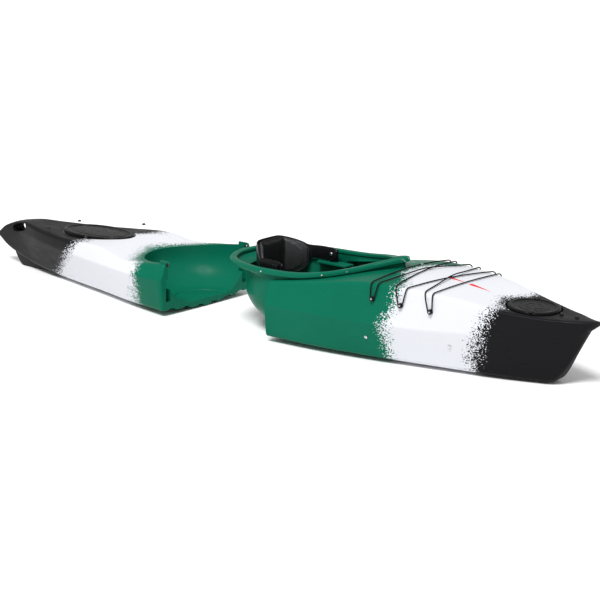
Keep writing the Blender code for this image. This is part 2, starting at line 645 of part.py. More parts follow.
def build_backrest(shell_mat, pad_mat, steel, bracket_mat):
    """Hinged backrest with side arms, its pad, pivot bolts and brackets."""
    shell = wall_along("backrest_shell", BACKREST_SHELL, 0.008, shell_mat)
    cushion = wall_along("backrest_pad", BACKREST_PAD, 0.012, pad_mat)
    carried_by("backrest_pivot", (PIVOT.x, 0.0, PIVOT.z), [shell, cushion])
    for side, word in ((-1, "starboard"), (1, "port")):
        hole = rod("pivot_hole", (PIVOT.x, side * 0.18, PIVOT.z), (PIVOT.x, side * 0.21, PIVOT.z), BOLT_HOLE, shell_mat)
        cut(shell, hole)
        low, high = sorted((side * 0.2005, side * 0.2222))
        bracket = box("backrest_bracket_" + word, (PIVOT.x - 0.018, low, 0.2834), (PIVOT.x + 0.018, high, 0.343),
                      bracket_mat)
        cut(bracket, rod("bracket_hole", (PIVOT.x, side * 0.19, PIVOT.z), (PIVOT.x, side * 0.216, PIVOT.z),
                         BOLT_HOLE, bracket_mat))
        turned("backrest_bolt_" + word, (PIVOT.x, side * 0.1895, PIVOT.z), (0, side, 0),
               [(0, -0.004), (0.006, -0.004), (0.0085, -0.002), (0.0085, 0.0), (BOLT_RADIUS, 0.0),
                (BOLT_RADIUS, 0.022), (0, 0.022)], steel, sides=12)


def build_footbraces(dark, steel):
    """Rails bolted through the lower side panels, with a sliding pedal on each."""
    for side, word in ((-1, "starboard"), (1, "port")):
        seats = [on_side(x, z, side) for x, z in RAIL_BOLTS]
        for index, (foot, normal) in enumerate(seats):
            turned("rail_bolt_%s_%d" % (word, index + 1), foot, -normal,
                   [(0, -0.0058), (0.004, -0.0058), (0.008, -0.0038), (0.008, -0.0018), (BOLT_RADIUS, -0.0013),
                    (BOLT_RADIUS, 0.026), (0, 0.026)], steel, sides=12)
        ends = [foot - normal * 0.020 for foot, normal in seats]
        along = (ends[1] - ends[0]).normalized()
        inward = -(seats[0][1] + seats[1][1])
        inward = (inward - along * along.dot(inward)).normalized()
        frame = (inward, along.cross(inward) * side)
        rail = bar("footbrace_rail_" + word, ends[0] - along * 0.02, ends[1] + along * 0.02, frame, 0.006, 0.012, dark)
        for foot, normal in seats:
            cut(rail, rod("rail_hole", foot - normal * 0.008, foot - normal * 0.040, BOLT_HOLE, dark))
        middle = ends[0].lerp(ends[1], 0.5) + inward * 0.0120
        carriage = bar("foot_pedal_" + word, middle - along * 0.035, middle + along * 0.035, frame, 0.0055, 0.014, dark)
        plate = bar("pedal_plate", middle + inward * 0.034 - along * 0.0065, middle + inward * 0.034 + along * 0.0065,
                    frame, 0.033, 0.048, dark)
        join(carriage, plate)
        carried_by("pedal_slide_" + word, middle, [carriage])


def bar(name, start, end, frame, half_width, half_height, mat):
    """A rectangular bar between two points, on a frame of (across, up)."""
    across, up = frame
    rings = []
    for centre in (start, end):
        rings.append([centre + across * (a * half_width) + up * (b * half_height)
                      for a, b in ((-1, -1), (1, -1), (1, 1), (-1, 1))])
    return loft(name, rings, mat)


# ---------------------------------------------------------------- deck rigging
def fitting_seat(x, side):
    """Foot and outward direction of a deck fitting on the upper side panel."""
    return on_side(x, smooth_line(FITTING_HEIGHTS, x), side)


def build_deck_fittings(dark, steel):
    for index, x in enumerate(FITTING_X):
        for side, word in ((-1, "starboard"), (1, "port")):
            foot, normal = fitting_seat(x, side)
            turned("bungee_fitting_%s_%d" % (word, index + 1), foot + normal * 0.0012, normal,
                   [(0, 0), (0.0120, 0), (0.0120, 0.003), (0.0055, 0.0035), (0.0055, 0.0110), (0.0100, 0.0115),
                    (0.0095, 0.0145), (0, 0.0145)], dark, sides=12)
            turned("fitting_screw_%s_%d" % (word, index + 1), foot + normal * 0.0160, normal,
                   [(0, 0), (0.0045, 0), (0.0030, 0.0022), (0, 0.0022)], steel, sides=10)


def over_deck(x, y):
    """A point of the cord's centre line where it rests on the foredeck."""
    return Vector((x, y, bow_deck_height(x, y) + CORD_RADIUS + CORD_LIFT))


def cord_run(start, end, hump):
    """Points of one run from a side fitting over the deck to a fitting on the other side.

    Each fitting is its station, its side, and the way the cord passes it: +1 towards the bow.
    """
    (x0, side0, way0), (x1, side1, way1) = start, end
    x0 += way0 * CORD_TURN
    x1 -= way1 * CORD_TURN
    points = []
    for share in (0.30, 0.75):
        points.append(panel_point(x0 + (x1 - x0) * 0.14 * share, side0, share))
    points.append(edge_point(x0 + (x1 - x0) * 0.14, side0))
    for k in range(8):
        t = (k + 0.5) / 8
        x = x0 + (x1 - x0) * (0.17 + 0.66 * t)
        edge_w = lines_at(BOW_LINES, x)[5]
        point = over_deck(x, side0 * edge_w * (1 - 2 * t) * 0.985)
        point.z += hump * math.exp(-((t - 0.5) / 0.16) ** 2)
        points.append(point)
    points.append(edge_point(x1 - (x1 - x0) * 0.14, side1))
    for share in (0.75, 0.30):
        points.append(panel_point(x1 - (x1 - x0) * 0.14 * share, side1, share))
    return points


def edge_point(x, side):
    """A point of the cord where it turns over the deck's edge."""
    edge_w, edge_z = lines_at(BOW_LINES, x)[5:7]
    return Vector((x, side * (edge_w + 0.004), edge_z + 0.0065))


def panel_point(x, side, share):
    """A point on the side panel, a share of the way from the fitting up to the deck edge."""
    offsets = lines_at(BOW_LINES, x)
    low = smooth_line(FITTING_HEIGHTS, x)
    point, normal = on_side(x, low + (offsets[6] - low) * share, side)
    return point + normal * (CORD_HEIGHT + 0.002 * share)


def cord_turn(x, side, direction):
    """Half a turn of the cord under one fitting, below its neck."""
    foot, normal = fitting_seat(x, side)
    along = Vector((1, 0, 0)) - normal * normal.x
    along.normalize()
    down = normal.cross(along)
    if down.z > 0:
        down = -down
    points = []
    for degrees in (-60, -20, 20, 60):
        angle = math.radians(degrees)
        points.append(foot + normal * CORD_HEIGHT + along * (direction * CORD_TURN * math.sin(angle))
                      + down * (CORD_TURN * math.cos(angle)))
    return points


def build_bungee(mat, crimp_mat):
    """One closed loop of cord laced round the six fittings, crossing itself twice."""
    first, second, third = FITTING_X
    stops = ((first, -1, -1), (first, 1, 1), (second, -1, 1), (third, 1, 1), (third, -1, -1), (second, 1, -1))
    humps = (0.0, 0.0, 0.0, 0.0, CORD_RADIUS * 2 + 0.003, CORD_RADIUS * 2 + 0.003)
    points = []
    for k, stop in enumerate(stops):
        points += cord_turn(*stop)
        points += cord_run(stop, stops[(k + 1) % len(stops)], humps[k])
    curve = bpy.data.curves.new("deck_bungee", "CURVE")
    curve.dimensions = "3D"
    curve.bevel_depth = CORD_RADIUS
    curve.bevel_resolution = 2
    spline = curve.splines.new("POLY")
    spline.points.add(len(points) - 1)
    for target, point in zip(spline.points, points):
        target.co = (*point, 1.0)
    spline.use_cyclic_u = True
    curve.materials.append(mat)
    cord = bpy.data.objects.new("deck_bungee", curve)
    bpy.context.collection.objects.link(cord)
    start, end = points[CRIMP_POINT], points[CRIMP_POINT + 1]
    turned("bungee_crimp", start.lerp(end, 0.5), end - start,
           [(CORD_RADIUS + CLEAR, -0.009), (0.0055, -0.009), (0.0055, 0.009), (CORD_RADIUS + CLEAR, 0.009)],
           crimp_mat, sides=12)


def build_screws(steel):
    """Screws along the outside of the coaming lip."""
    edge = coaming_outline(0.0)
    for side, word in ((-1, "starboard"), (1, "port")):
        for index, wanted in enumerate(COAMING_SCREW_X):
            spots = [k for k, p in enumerate(edge) if p.y * side > 0.02]
            k = min(spots, key=lambda n: abs(edge[n].x - wanted))
            along = (edge[(k + 1) % COAMING_STEPS] - edge[k - 1]).normalized()
            out = Vector((along.y, -along.x, 0)).normalized()
            if out.y * side < 0:
                out = -out
            centre = edge[k] + Vector((0, 0, -0.013)) + out * 0.0012
            turned("coaming_screw_%s_%d" % (word, index + 1), centre, out,
                   [(0, 0), (0.0045, 0), (0.0032, 0.0022), (0, 0.0022)], steel, sides=10)


def pad_eye(name, foot, mat):
    return turned(name, foot, (0, 0, 1), [(0, 0), (0.010, 0), (0.009, 0.004), (0.005, 0.008), (0, 0.008)], mat, sides=10)


def build_bow_pad_eyes(dark):
    for index, x in enumerate((1.425, 1.505)):
        pad_eye("bow_pad_eye_%d" % (index + 1), (x, 0, bow_deck_height(x, 0) + 0.0015), dark)


def build_stern_pad_eyes(dark):
    eyes = []
    for index, (aft, y) in enumerate(((0.640, 0.205), (1.020, 0.110))):
        for side, word in ((-1, "starboard"), (1, "port")):
            foot = (-JOINT_GAP - aft, side * y, stern_deck_height(aft, y) + 0.0025)
            eyes.append(pad_eye("stern_pad_eye_%s_%d" % (word, index + 1), foot, dark))
    return eyes


def build_tongues(hull, mat, dark):
    """Locking tongues that reach from the stern's wings into the bow's sides, each with its bush."""
    bushes = []
    for side, word in ((-1, "starboard"), (1, "port")):
        low, high = sorted((side * 0.2755, side * 0.2855))
        x, z = TONGUE_EYE
        outline = []
        for k in range(7):
            angle = math.radians(-90 + 30 * k)
            outline.append((x + TONGUE_RADIUS * math.cos(angle), z + TONGUE_RADIUS * math.sin(angle)))
        outline += [(x - 0.050, z + TONGUE_RADIUS), (x - 0.050, z - TONGUE_RADIUS)]
        join(hull, side_plate("tongue_blank", outline, low, high, mat))
        cut(hull, rod("tongue_hole", (x, side * 0.2685, z), (x, side * 0.3100, z), 0.0115, mat, 16))
        bushes.append(turned("tongue_bush_" + word, (x, side * 0.2805, z), (0, 1, 0),
                             [(0.0070, -0.0050), (0.0110, -0.0050), (0.0110, 0.0050), (0.0070, 0.0050)], dark, sides=16))
    return bushes


def shift_origin():
    """Moves everything so that the origin is the bottom centre of the kayak's box."""
    for obj in bpy.data.objects:
        if obj.parent is None:
            obj.location.x += 0.5 * (STERN_LENGTH + JOINT_GAP - BOW_LENGTH)


def main():
    for obj in list(bpy.data.objects):
        bpy.data.objects.remove(obj, do_unlink=True)
    green = material("green_plastic", GREEN, 0.35)
    white = material("white_plastic", WHITE, 0.35)
    black = material("black_plastic", BLACK, 0.45)
    grey = material("grey_pad", GREY, 0.7)
    foam = material("grey_foam", GREY, 0.9)
    rubber = material("black_rubber", BLACK, 0.7)
    steel = material("steel", STEEL, 0.3, 1.0)

    build_bow_hull(green)
    build_bow_bulkhead(foam)
    build_bow_hatch(rubber, rubber)
    build_seat(green, foam)
    build_backrest(black, grey, steel, black)
    build_footbraces(black, steel)
    build_deck_fittings(black, steel)
    build_bungee(black, steel)
    build_screws(steel)
    build_bow_pad_eyes(black)

    hull = build_stern_hull(white)
    stern = [hull, build_fin(black)]
    stern += build_tongues(hull, green, black)
    stern += build_stern_pad_eyes(black)
    stern += build_stern_hatch(rubber, rubber)
    dock = carried_by("stern_dock", (-JOINT_GAP, 0.0, 0.0), stern)
    lid = bpy.data.objects["stern_lid_axis"]
    lid.parent = dock
    lid.matrix_parent_inverse = Matrix.Translation((JOINT_GAP, 0.0, 0.0))
    shift_origin()


main()
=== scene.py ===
"""Looks of the take-apart kayak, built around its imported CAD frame."""

import json
from math import atan2, copysign, cos, exp, log1p, radians, sin, tau

import bmesh
import bpy
from mathutils import Matrix, Vector


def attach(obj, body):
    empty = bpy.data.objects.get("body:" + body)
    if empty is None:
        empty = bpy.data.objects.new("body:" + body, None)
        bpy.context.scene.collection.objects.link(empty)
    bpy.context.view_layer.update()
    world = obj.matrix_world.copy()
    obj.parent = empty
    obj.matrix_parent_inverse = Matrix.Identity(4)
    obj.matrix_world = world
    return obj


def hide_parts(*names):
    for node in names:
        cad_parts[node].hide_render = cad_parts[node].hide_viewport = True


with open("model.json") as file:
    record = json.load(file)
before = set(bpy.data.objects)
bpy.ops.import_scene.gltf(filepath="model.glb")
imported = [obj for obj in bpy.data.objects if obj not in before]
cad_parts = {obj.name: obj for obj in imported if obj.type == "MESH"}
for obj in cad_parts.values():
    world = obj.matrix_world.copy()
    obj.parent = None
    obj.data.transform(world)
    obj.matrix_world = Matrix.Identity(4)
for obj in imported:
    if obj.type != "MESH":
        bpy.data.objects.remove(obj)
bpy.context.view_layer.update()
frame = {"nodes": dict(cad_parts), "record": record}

# ---------------- lines of the kayak, as in the CAD

WALL = 0.005  # skin of the moulded hulls
CLEAR = 0.0003  # gap between pieces that touch
JOINT_GAP = 0.674  # distance the stern section is drawn back
STERN_LENGTH = 1.520  # joint plane to stern tip
BOW_LENGTH = 1.620  # joint plane to bow tip
SOCKET_CLEAR = 0.005  # play between the bow's barrel and the stern's socket
SOCKET_WIDE = 0.90  # barrel half width over its nominal radius
SOCKET_DEEP = 1.10  # barrel depth over its nominal radius

STEM_FOOT = 1.428  # where the stem's straight rake would meet the keel
STEM_SLOPE = 1.75
STEM_SOFTNESS = 0.020
NOTCH_X = 1.572  # notch under the bow's beak
NOTCH_Z = 0.256
BEAK_SLOPE = 0.72

# Lines of each section: station, then keel height, bottom corner (half width, height),
# chine (half width, height), deck edge (half width, height) and deck centre height.
BOW_LINES = (
    (0.0, 0.0, 0.318, 0.026, 0.33, 0.18, 0.293, 0.286, 0.29),
    (0.3, 0.0, 0.298, 0.021, 0.326, 0.183, 0.296, 0.331, 0.346),
    (0.6, 0.0, 0.253, 0.019, 0.305, 0.187, 0.284, 0.369, 0.388),
    (0.9, 0.0, 0.191, 0.017, 0.256, 0.196, 0.25, 0.362, 0.37),
    (1.2, 0.0, 0.118, 0.012, 0.176, 0.21, 0.182, 0.335, 0.326),
    (1.4, 0.0, 0.05, 0.008, 0.108, 0.228, 0.118, 0.315, 0.309),
    (1.5, 0.0, 0.018, 0.004, 0.066, 0.24, 0.077, 0.306, 0.308),
    (1.56, 0.0, 0.012, 0.003, 0.036, 0.252, 0.047, 0.303, 0.309),
    (1.62, 0.0, 0.01, 0.003, 0.014, 0.296, 0.02, 0.303, 0.311),
)
# The same for the stern, with the station measured aft from the joint plane.
STERN_LINES = (
    (0.0, 0.0, 0.318, 0.028, 0.33, 0.182, 0.296, 0.286, 0.262),
    (0.15, 0.0, 0.285, 0.022, 0.322, 0.183, 0.292, 0.285, 0.245),
    (0.33, 0.0, 0.248, 0.02, 0.303, 0.184, 0.28, 0.284, 0.234),
    (0.5, 0.0, 0.203, 0.019, 0.27, 0.186, 0.253, 0.288, 0.262),
    (0.7, 0.0, 0.156, 0.018, 0.228, 0.188, 0.215, 0.284, 0.257),
    (0.9, 0.0, 0.111, 0.018, 0.18, 0.19, 0.17, 0.272, 0.25),
    (1.1, 0.01, 0.072, 0.026, 0.125, 0.192, 0.115, 0.263, 0.252),
    (1.3, 0.045, 0.04, 0.056, 0.058, 0.19, 0.052, 0.248, 0.252),
    (1.45, 0.09, 0.016, 0.097, 0.026, 0.172, 0.026, 0.202, 0.208),
    (1.52, 0.135, 0.008, 0.138, 0.011, 0.148, 0.011, 0.158, 0.161),
)
# Barrel and socket: height, and nominal radius at that height.
BARREL_PROFILE = (
    (0.045, 0.15), (0.052, 0.19), (0.085, 0.243), (0.13, 0.281),
    (0.18, 0.3), (0.24, 0.3), (0.288, 0.294),
)
# Coaming, half of its outer edge seen from above, and the height of its top over that length.
COAMING_EDGE = (
    (-0.412, 0.0), (-0.392, 0.11), (-0.315, 0.215), (-0.15, 0.277), (0.06, 0.286),
    (0.22, 0.268), (0.335, 0.218), (0.45, 0.128), (0.545, 0.045), (0.59, 0.0),
)
COAMING_TOP = (
    (-0.412, 0.336), (-0.2, 0.333), (0.0, 0.335), (0.14, 0.342),
    (0.27, 0.36), (0.4, 0.386), (0.52, 0.42), (0.59, 0.44),
)
COAMING_STEPS = 132
OVAL_STEPS = 96
COAMING_FOCI = (-0.150, 0.300)  # the outline is inset towards the line between these stations
LIP_WIDTH = 0.034
LIP_THICK = 0.018
RISER_INSET = 0.024
SHIFT = 0.5 * (STERN_LENGTH + JOINT_GAP - BOW_LENGTH)  # from the lines' X to the frame's X

BOW_HATCH_HOLE = 0.092
BOW_HATCH_CENTRE = Vector((1.280, 0.0, 0.3030))  # centre of the flat the rim stands on
BOW_HATCH_SLOPE = 0.075  # how far the hatch leans towards the bow for each metre up
BOW_HATCH_AXIS = Vector((BOW_HATCH_SLOPE, 0.0, 1.0))
BOW_HATCH_RIM = 0.127
STERN_HATCH_AFT = 0.760
STERN_HATCH_HALF_LENGTH = 0.232
STERN_HATCH_HALF_WIDTH = 0.136
STERN_HATCH_RISE = -0.009  # flat that the rim stands on, over the deck
COLLAR_WALL = 0.006  # wall round the well that a hatch is sunk in
HATCH_FLANGE = 0.036  # outer edge of a hatch rim to the hole in the deck
COLLAR_DEPTH = 0.012  # how far the collar goes below the flat
COLLAR_TOP = 0.06  # cutting heights that clear the deck above
WELL_TOP = 0.07
SCALLOPS = (-0.2475, -0.1485, -0.0495, 0.0495, 0.1485, 0.2475)
TONGUE_EYE = (0.008 - JOINT_GAP, 0.256)  # station and height of the hole in each locking tongue
TONGUE_RADIUS = 0.0155
TONGUE_LENGTH = 0.050
TONGUE_HOLE = 0.0115
GRAB_SLOT_AFT = 1.305
GRAB_SLOT_HEIGHT = 0.218
GRAB_SLOT_HALF_LENGTH = 0.070
GRAB_SLOT_HALF_HEIGHT = 0.021
GRAB_SLOT_TILT = radians(14)

PIVOT = Vector((-0.035, 0.196, 0.325))  # backrest pivot, port side
# Backrest, from the middle to the port side: station, half width, lowest and highest point.
BACKREST_SHELL = (
    (-0.264, 0.0, 0.205, 0.406), (-0.264, 0.055, 0.205, 0.405), (-0.261, 0.086, 0.206, 0.4),
    (-0.237, 0.109, 0.21, 0.393), (-0.21, 0.136, 0.214, 0.382), (-0.185, 0.158, 0.228, 0.369),
    (-0.168, 0.172, 0.255, 0.358), (-0.15, 0.184, 0.29, 0.354), (-0.09, 0.193, 0.289, 0.356),
    (-0.035, 0.196, 0.29, 0.354), (-0.015, 0.196, 0.302, 0.35), (-0.004, 0.196, 0.311, 0.342),
)
BACKREST_PAD = (
    (-0.252, 0.0, 0.213, 0.404), (-0.252, 0.053, 0.213, 0.403), (-0.25, 0.08, 0.214, 0.399),
    (-0.2289, 0.1005, 0.218, 0.392), (-0.202, 0.1277, 0.222, 0.381), (-0.1776, 0.1493, 0.236, 0.366),
    (-0.1612, 0.1628, 0.262, 0.345),
)
FITTING_X = (0.614, 0.761, 0.908)
FITTING_HEIGHTS = ((0.60, 0.302), (0.76, 0.292), (0.92, 0.283))
RAIL_BOLTS = ((0.574, 0.118), (0.985, 0.132))  # station and height on the lower side panels
BOLT_HOLE = 0.0046
CORD_RADIUS = 0.003
CORD_HEIGHT = 0.0085  # centre of the cord above the side panel at a fitting
CORD_LIFT = 0.0035  # gap between the cord and the deck's nominal surface
CORD_TURN = 0.0100  # radius of the cord's half turn round a fitting
CORD_CROSSING = CORD_RADIUS * 2 + 0.003  # rise of a run over the one that it crosses
CORD_CROSSING_WIDTH = 0.16
CORD_SIDE_SHARE = 0.14  # share of a run's length that lies on each side panel
CORD_DECK_START = 0.17  # shares at which a run's deck points start and that they cover
CORD_DECK_SHARE = 0.66


# ---------------- shapes
def new_object(name, bm, mat):
    """An object from a bmesh drawn on the kayak's lines, placed in the frame."""
    bmesh.ops.triangulate(bm, faces=[f for f in bm.faces if len(f.verts) > 4])
    bmesh.ops.recalc_face_normals(bm, faces=bm.faces)
    bmesh.ops.translate(bm, vec=(SHIFT, 0, 0), verts=bm.verts)
    mesh = bpy.data.meshes.new(name)
    bm.to_mesh(mesh)
    bm.free()
    obj = add_object(name, mesh)
    if mat:
        obj.data.materials.append(mat)
    shade(obj)
    return obj


def add_object(name, data):
    """An object made from its data and linked into the scene."""
    obj = bpy.data.objects.new(name, data)
    bpy.context.scene.collection.objects.link(obj)
    return obj


def shade(obj, degrees=32):
    """Smooth shading, with edges sharper than the angle kept hard."""
    obj.data.shade_smooth()
    obj.data.set_sharp_from_angle(angle=radians(degrees))


def boolean(obj, other, operation):
    """A boolean of two closed shapes, applied at once; the other shape is used up."""
    modifier = obj.modifiers.new(operation.lower(), "BOOLEAN")
    modifier.operation = operation
    modifier.object = other
    modifier.solver = "MANIFOLD"
    apply(obj)
    bpy.data.objects.remove(other)


def apply(obj):
    """Applies every modifier of an object."""
    graph = bpy.context.evaluated_depsgraph_get()
    mesh = bpy.data.meshes.new_from_object(obj.evaluated_get(graph))
    obj.modifiers.clear()
    obj.data = mesh


def cut(obj, other):
    boolean(obj, other, "DIFFERENCE")


def join(obj, other):
    boolean(obj, other, "UNION")


def smooth_line(points, x):
    """Height at x of a smooth curve through (x, value) points."""
    last = len(points) - 1
    x = min(max(x, points[0][0]), points[last][0])
    i = 0
    while i < last - 1 and x > points[i + 1][0]:
        i += 1

    def slope(k):
        low, high = max(k - 1, 0), min(k + 1, last)
        return (points[high][1] - points[low][1]) / (points[high][0] - points[low][0])

    x0, y0 = points[i]
    x1, y1 = points[i + 1]
    run = x1 - x0
    t = (x - x0) / run
    return ((2 * t**3 - 3 * t**2 + 1) * y0 + (t**3 - 2 * t**2 + t) * run * slope(i)
            + (-2 * t**3 + 3 * t**2) * y1 + (t**3 - t**2) * run * slope(i + 1))


def lines_at(lines, station):
    """All eight offsets of a table of lines at one station."""
    return [smooth_line([(row[0], row[k]) for row in lines], station) for k in range(1, 9)]


def loft(name, rings, mat, closed=False):
    """A solid through equal rings: capped at both ends or, if closed, swept right round."""
    bm = bmesh.new()
    rows = [[bm.verts.new(point) for point in ring] for ring in rings]
    count = len(rows[0])
    for row, following in zip(rows, rows[1:] + rows[:1] if closed else rows[1:]):
        for k in range(count):
            bm.faces.new((row[k], row[(k + 1) % count], following[(k + 1) % count], following[k]))
    if not closed:
        bm.faces.new(rows[0])
        bm.faces.new(rows[-1])
    return new_object(name, bm, mat)


def prism(name, outline, low, high, mat):
    """A straight prism over an outline in X and Y."""
    return loft(name, [[Vector((x, y, z)) for x, y in outline] for z in (low, high)], mat)


def side_plate(name, outline, low, high, mat):
    """A plate over an outline in X and Z, from Y = low to Y = high."""
    return loft(name, [[Vector((x, y, z)) for x, z in outline] for y in (low, high)], mat)


def side_box(name, side, near, far, mat):
    """A box between two corners given for the port side, drawn on either side."""
    low, high = sorted((side * near[1], side * far[1]))
    outline = ((near[0], low), (far[0], low), (far[0], high), (near[0], high))
    return prism(name, outline, near[2], far[2], mat)


def circle(steps):
    """Cosine and sine of evenly spaced angles, all the way round."""
    return [(cos(tau * k / steps), sin(tau * k / steps)) for k in range(steps)]


def oval(half_length, half_width):
    """Outline of the stern hatch or of a ring in it."""
    centre = -JOINT_GAP - STERN_HATCH_AFT
    return [(centre + half_length * c, half_width * s) for c, s in circle(OVAL_STEPS)]


def rod(name, start, end, radius, mat, sides=12):
    """A plain round bar between two points."""
    start, end = Vector(start), Vector(end)
    turn = (end - start).to_track_quat("Z", "Y").to_matrix()
    rings = []
    for centre in (start, end):
        rings.append([centre + turn @ Vector((radius * c, radius * s, 0)) for c, s in circle(sides)])
    return loft(name, rings, mat)


def turned(name, centre, axis, profile, mat, sides):
    """A turned solid: profile is a closed loop of (radius, height along the axis)."""
    turn = Vector(axis).to_track_quat("Z", "Y").to_matrix()
    rings = []
    for c, s in circle(sides):
        rings.append([Vector(centre) + turn @ Vector((r * c, r * s, height)) for r, height in profile])
    if all(radius > 0 for radius, _ in profile):
        return loft(name, rings, mat, closed=True)
    levels = [[ring[k] for ring in rings] for k, (radius, _) in enumerate(profile) if radius > 0]
    return loft(name, levels, mat)


def stem_height(x):
    """Height of the bow's keel line: flat, then raked stem, then the underside of the beak."""
    rise = STEM_SLOPE * STEM_SOFTNESS * log1p(exp((x - STEM_FOOT) / STEM_SOFTNESS))
    if x < NOTCH_X:
        return min(rise, NOTCH_Z)
    return NOTCH_Z + BEAK_SLOPE * (x - NOTCH_X)


def rounded(points, radii, steps):
    """Replaces each inner corner of a polyline by a short curve."""
    result = [points[0]]
    for k in range(1, len(points) - 1):
        corner = Vector(points[k])
        before = Vector(points[k - 1]) - corner
        after = Vector(points[k + 1]) - corner
        reach_in = min(radii[k - 1], 0.4 * before.length)
        reach_out = min(radii[k - 1], 0.4 * after.length)
        first = corner + before.normalized() * reach_in
        last = corner + after.normalized() * reach_out
        for s in range(steps[k - 1] + 1):
            t = s / steps[k - 1]
            result.append(tuple(first * (1 - t) ** 2 + corner * 2 * t * (1 - t) + last * t * t))
    result.append(points[-1])
    return result


def section(x, offsets, inset):
    """One closed hull section as a ring of points, drawn inset from the outer lines."""
    keel, bottom_w, bottom_z, chine_w, chine_z, edge_w, edge_z, deck = offsets
    keel += inset
    deck -= inset
    slim = 0.004
    bottom = (max(bottom_w - inset, slim), max(bottom_z + inset, keel + 0.002))
    edge = (max(edge_w - inset, slim + 0.002), max(min(edge_z - inset, deck), keel + 0.010))
    chine_low = bottom[1] + 0.3 * (edge[1] - bottom[1])
    chine = (max(chine_w - inset, slim + 0.001), min(max(chine_z, chine_low), edge[1] - 0.004))
    crown = (0.5 * edge[0], edge[1] + 0.82 * (deck - edge[1]))
    side = rounded([(0.0, keel), bottom, chine, edge, crown, (0.0, deck)],
                   (0.022, 0.008, 0.020, 0.060), (6, 5, 7, 6))
    starboard = [Vector((x, -y, z)) for y, z in side]
    port = [Vector((x, y, z)) for y, z in reversed(side[1:-1])]
    return starboard + port


def bow_section(x, inset=0.0):
    offsets = lines_at(BOW_LINES, x)
    rise = stem_height(x)
    offsets[0] = rise
    offsets[2] = max(offsets[2], rise + 0.003)
    offsets[4] = max(offsets[4], rise + 0.015)
    return section(x, offsets, inset)


def stern_section(aft, inset=0.0):
    offsets = lines_at(STERN_LINES, aft)
    offsets[0] = max(offsets[0], 0.0)
    return section(-JOINT_GAP - aft, offsets, inset)


def deck_height(lines, station, y):
    """Top of a section's deck at a point."""
    edge_w, edge_z, deck = lines_at(lines, station)[5:8]
    share = min(abs(y) / edge_w, 1.0)
    return deck - (deck - edge_z) * share ** 2


def side_surface(x, height):
    """Half width of the bow's side at a height, on the lower or the upper panel."""
    offsets = lines_at(BOW_LINES, x)
    bottom_w, bottom_z, chine_w, chine_z, edge_w, edge_z = offsets[1:7]
    if height < chine_z:
        return bottom_w + (chine_w - bottom_w) * (height - bottom_z) / (chine_z - bottom_z)
    return chine_w + (edge_w - chine_w) * (height - chine_z) / (edge_z - chine_z)


def on_side(x, height, side):
    """A point on the bow's side panel and its outward direction."""
    step = 0.01
    width = side_surface(x, height)
    across = Vector((0, side_surface(x, height + step) - side_surface(x, height - step), 2 * step))
    along = Vector((2 * step, side_surface(x + step, height) - side_surface(x - step, height), 0))
    normal = across.cross(along).normalized()
    return Vector((x, side * width, height)), Vector((normal.x, side * normal.y, normal.z))


def barrel_ring(height, radius, grow, centre_x):
    """Plan ellipse of the barrel or socket at one height."""
    ring = []
    for x, y, _ in coaming_outline(0.0):
        angle = atan2(y, x)
        ring.append(Vector((centre_x + (radius * SOCKET_DEEP + grow) * cos(angle),
                            (radius * SOCKET_WIDE + grow) * sin(angle), height)))
    return ring


def between(a, b, c, d, t):
    """A point from b (t = 0) to c (t = 1) on the smooth curve through four points."""
    return 0.5 * ((2 * b) + (c - a) * t + (2 * a - 5 * b + 4 * c - d) * t * t
                  + (3 * b - a - 3 * c + d) * t ** 3)


def coaming_outline(inset):
    """Points round the coaming, inset from its outer edge, with the height of its top."""
    half = [Vector((x, y)) for x, y in COAMING_EDGE]
    loop = half + [Vector((p.x, -p.y)) for p in reversed(half[1:-1])]
    count = len(loop)
    fine = []
    per_span = 8
    for i in range(count):
        a, b, c, d = (loop[(i + k) % count] for k in (-1, 0, 1, 2))
        for s in range(per_span):
            fine.append(between(a, b, c, d, s / per_span))
    lengths = [0.0]
    for p, q in zip(fine, fine[1:] + fine[:1]):
        lengths.append(lengths[-1] + (q - p).length)
    total = lengths[-1]
    points = []
    k = 0
    for step in range(COAMING_STEPS):
        target = total * step / COAMING_STEPS
        while lengths[k + 1] <= target:
            k += 1
        share = (target - lengths[k]) / (lengths[k + 1] - lengths[k])
        points.append(fine[k].lerp(fine[(k + 1) % len(fine)], share))
    result = []
    for point in points:
        anchor = Vector((min(max(point.x, COAMING_FOCI[0]), COAMING_FOCI[1]), 0.0))
        moved = point + (anchor - point).normalized() * inset
        result.append(Vector((moved.x, moved.y, smooth_line(COAMING_TOP, point.x))))
    return result


def span(low, high, count):
    """Evenly spaced values from low to high, with both ends."""
    return [low + (high - low) * k / (count - 1) for k in range(count)]


def over_deck(x, y):
    """A point of the cord's centre line where it rests on the foredeck."""
    return Vector((x, y, deck_height(BOW_LINES, x, y) + CORD_RADIUS + CORD_LIFT))


def cord_run(start, end, hump):
    """Points of one run from a side fitting over the deck to a fitting on the other side.

    Each fitting is its station, its side, and the way the cord passes it: +1 towards the bow.
    """
    (x0, side0, way0), (x1, side1, way1) = start, end
    x0 += way0 * CORD_TURN
    x1 -= way1 * CORD_TURN
    length = x1 - x0
    points = []
    for share in (0.30, 0.75):
        points.append(panel_point(x0 + length * CORD_SIDE_SHARE * share, side0, share))
    points.append(edge_point(x0 + length * CORD_SIDE_SHARE, side0))
    for k in range(8):
        t = (k + 0.5) / 8
        x = x0 + length * (CORD_DECK_START + CORD_DECK_SHARE * t)
        edge_w = lines_at(BOW_LINES, x)[5]
        point = over_deck(x, side0 * edge_w * (1 - 2 * t) * 0.985)
        point.z += hump * exp(-((t - 0.5) / CORD_CROSSING_WIDTH) ** 2)
        points.append(point)
    points.append(edge_point(x1 - length * CORD_SIDE_SHARE, side1))
    for share in (0.75, 0.30):
        points.append(panel_point(x1 - length * CORD_SIDE_SHARE * share, side1, share))
    return points


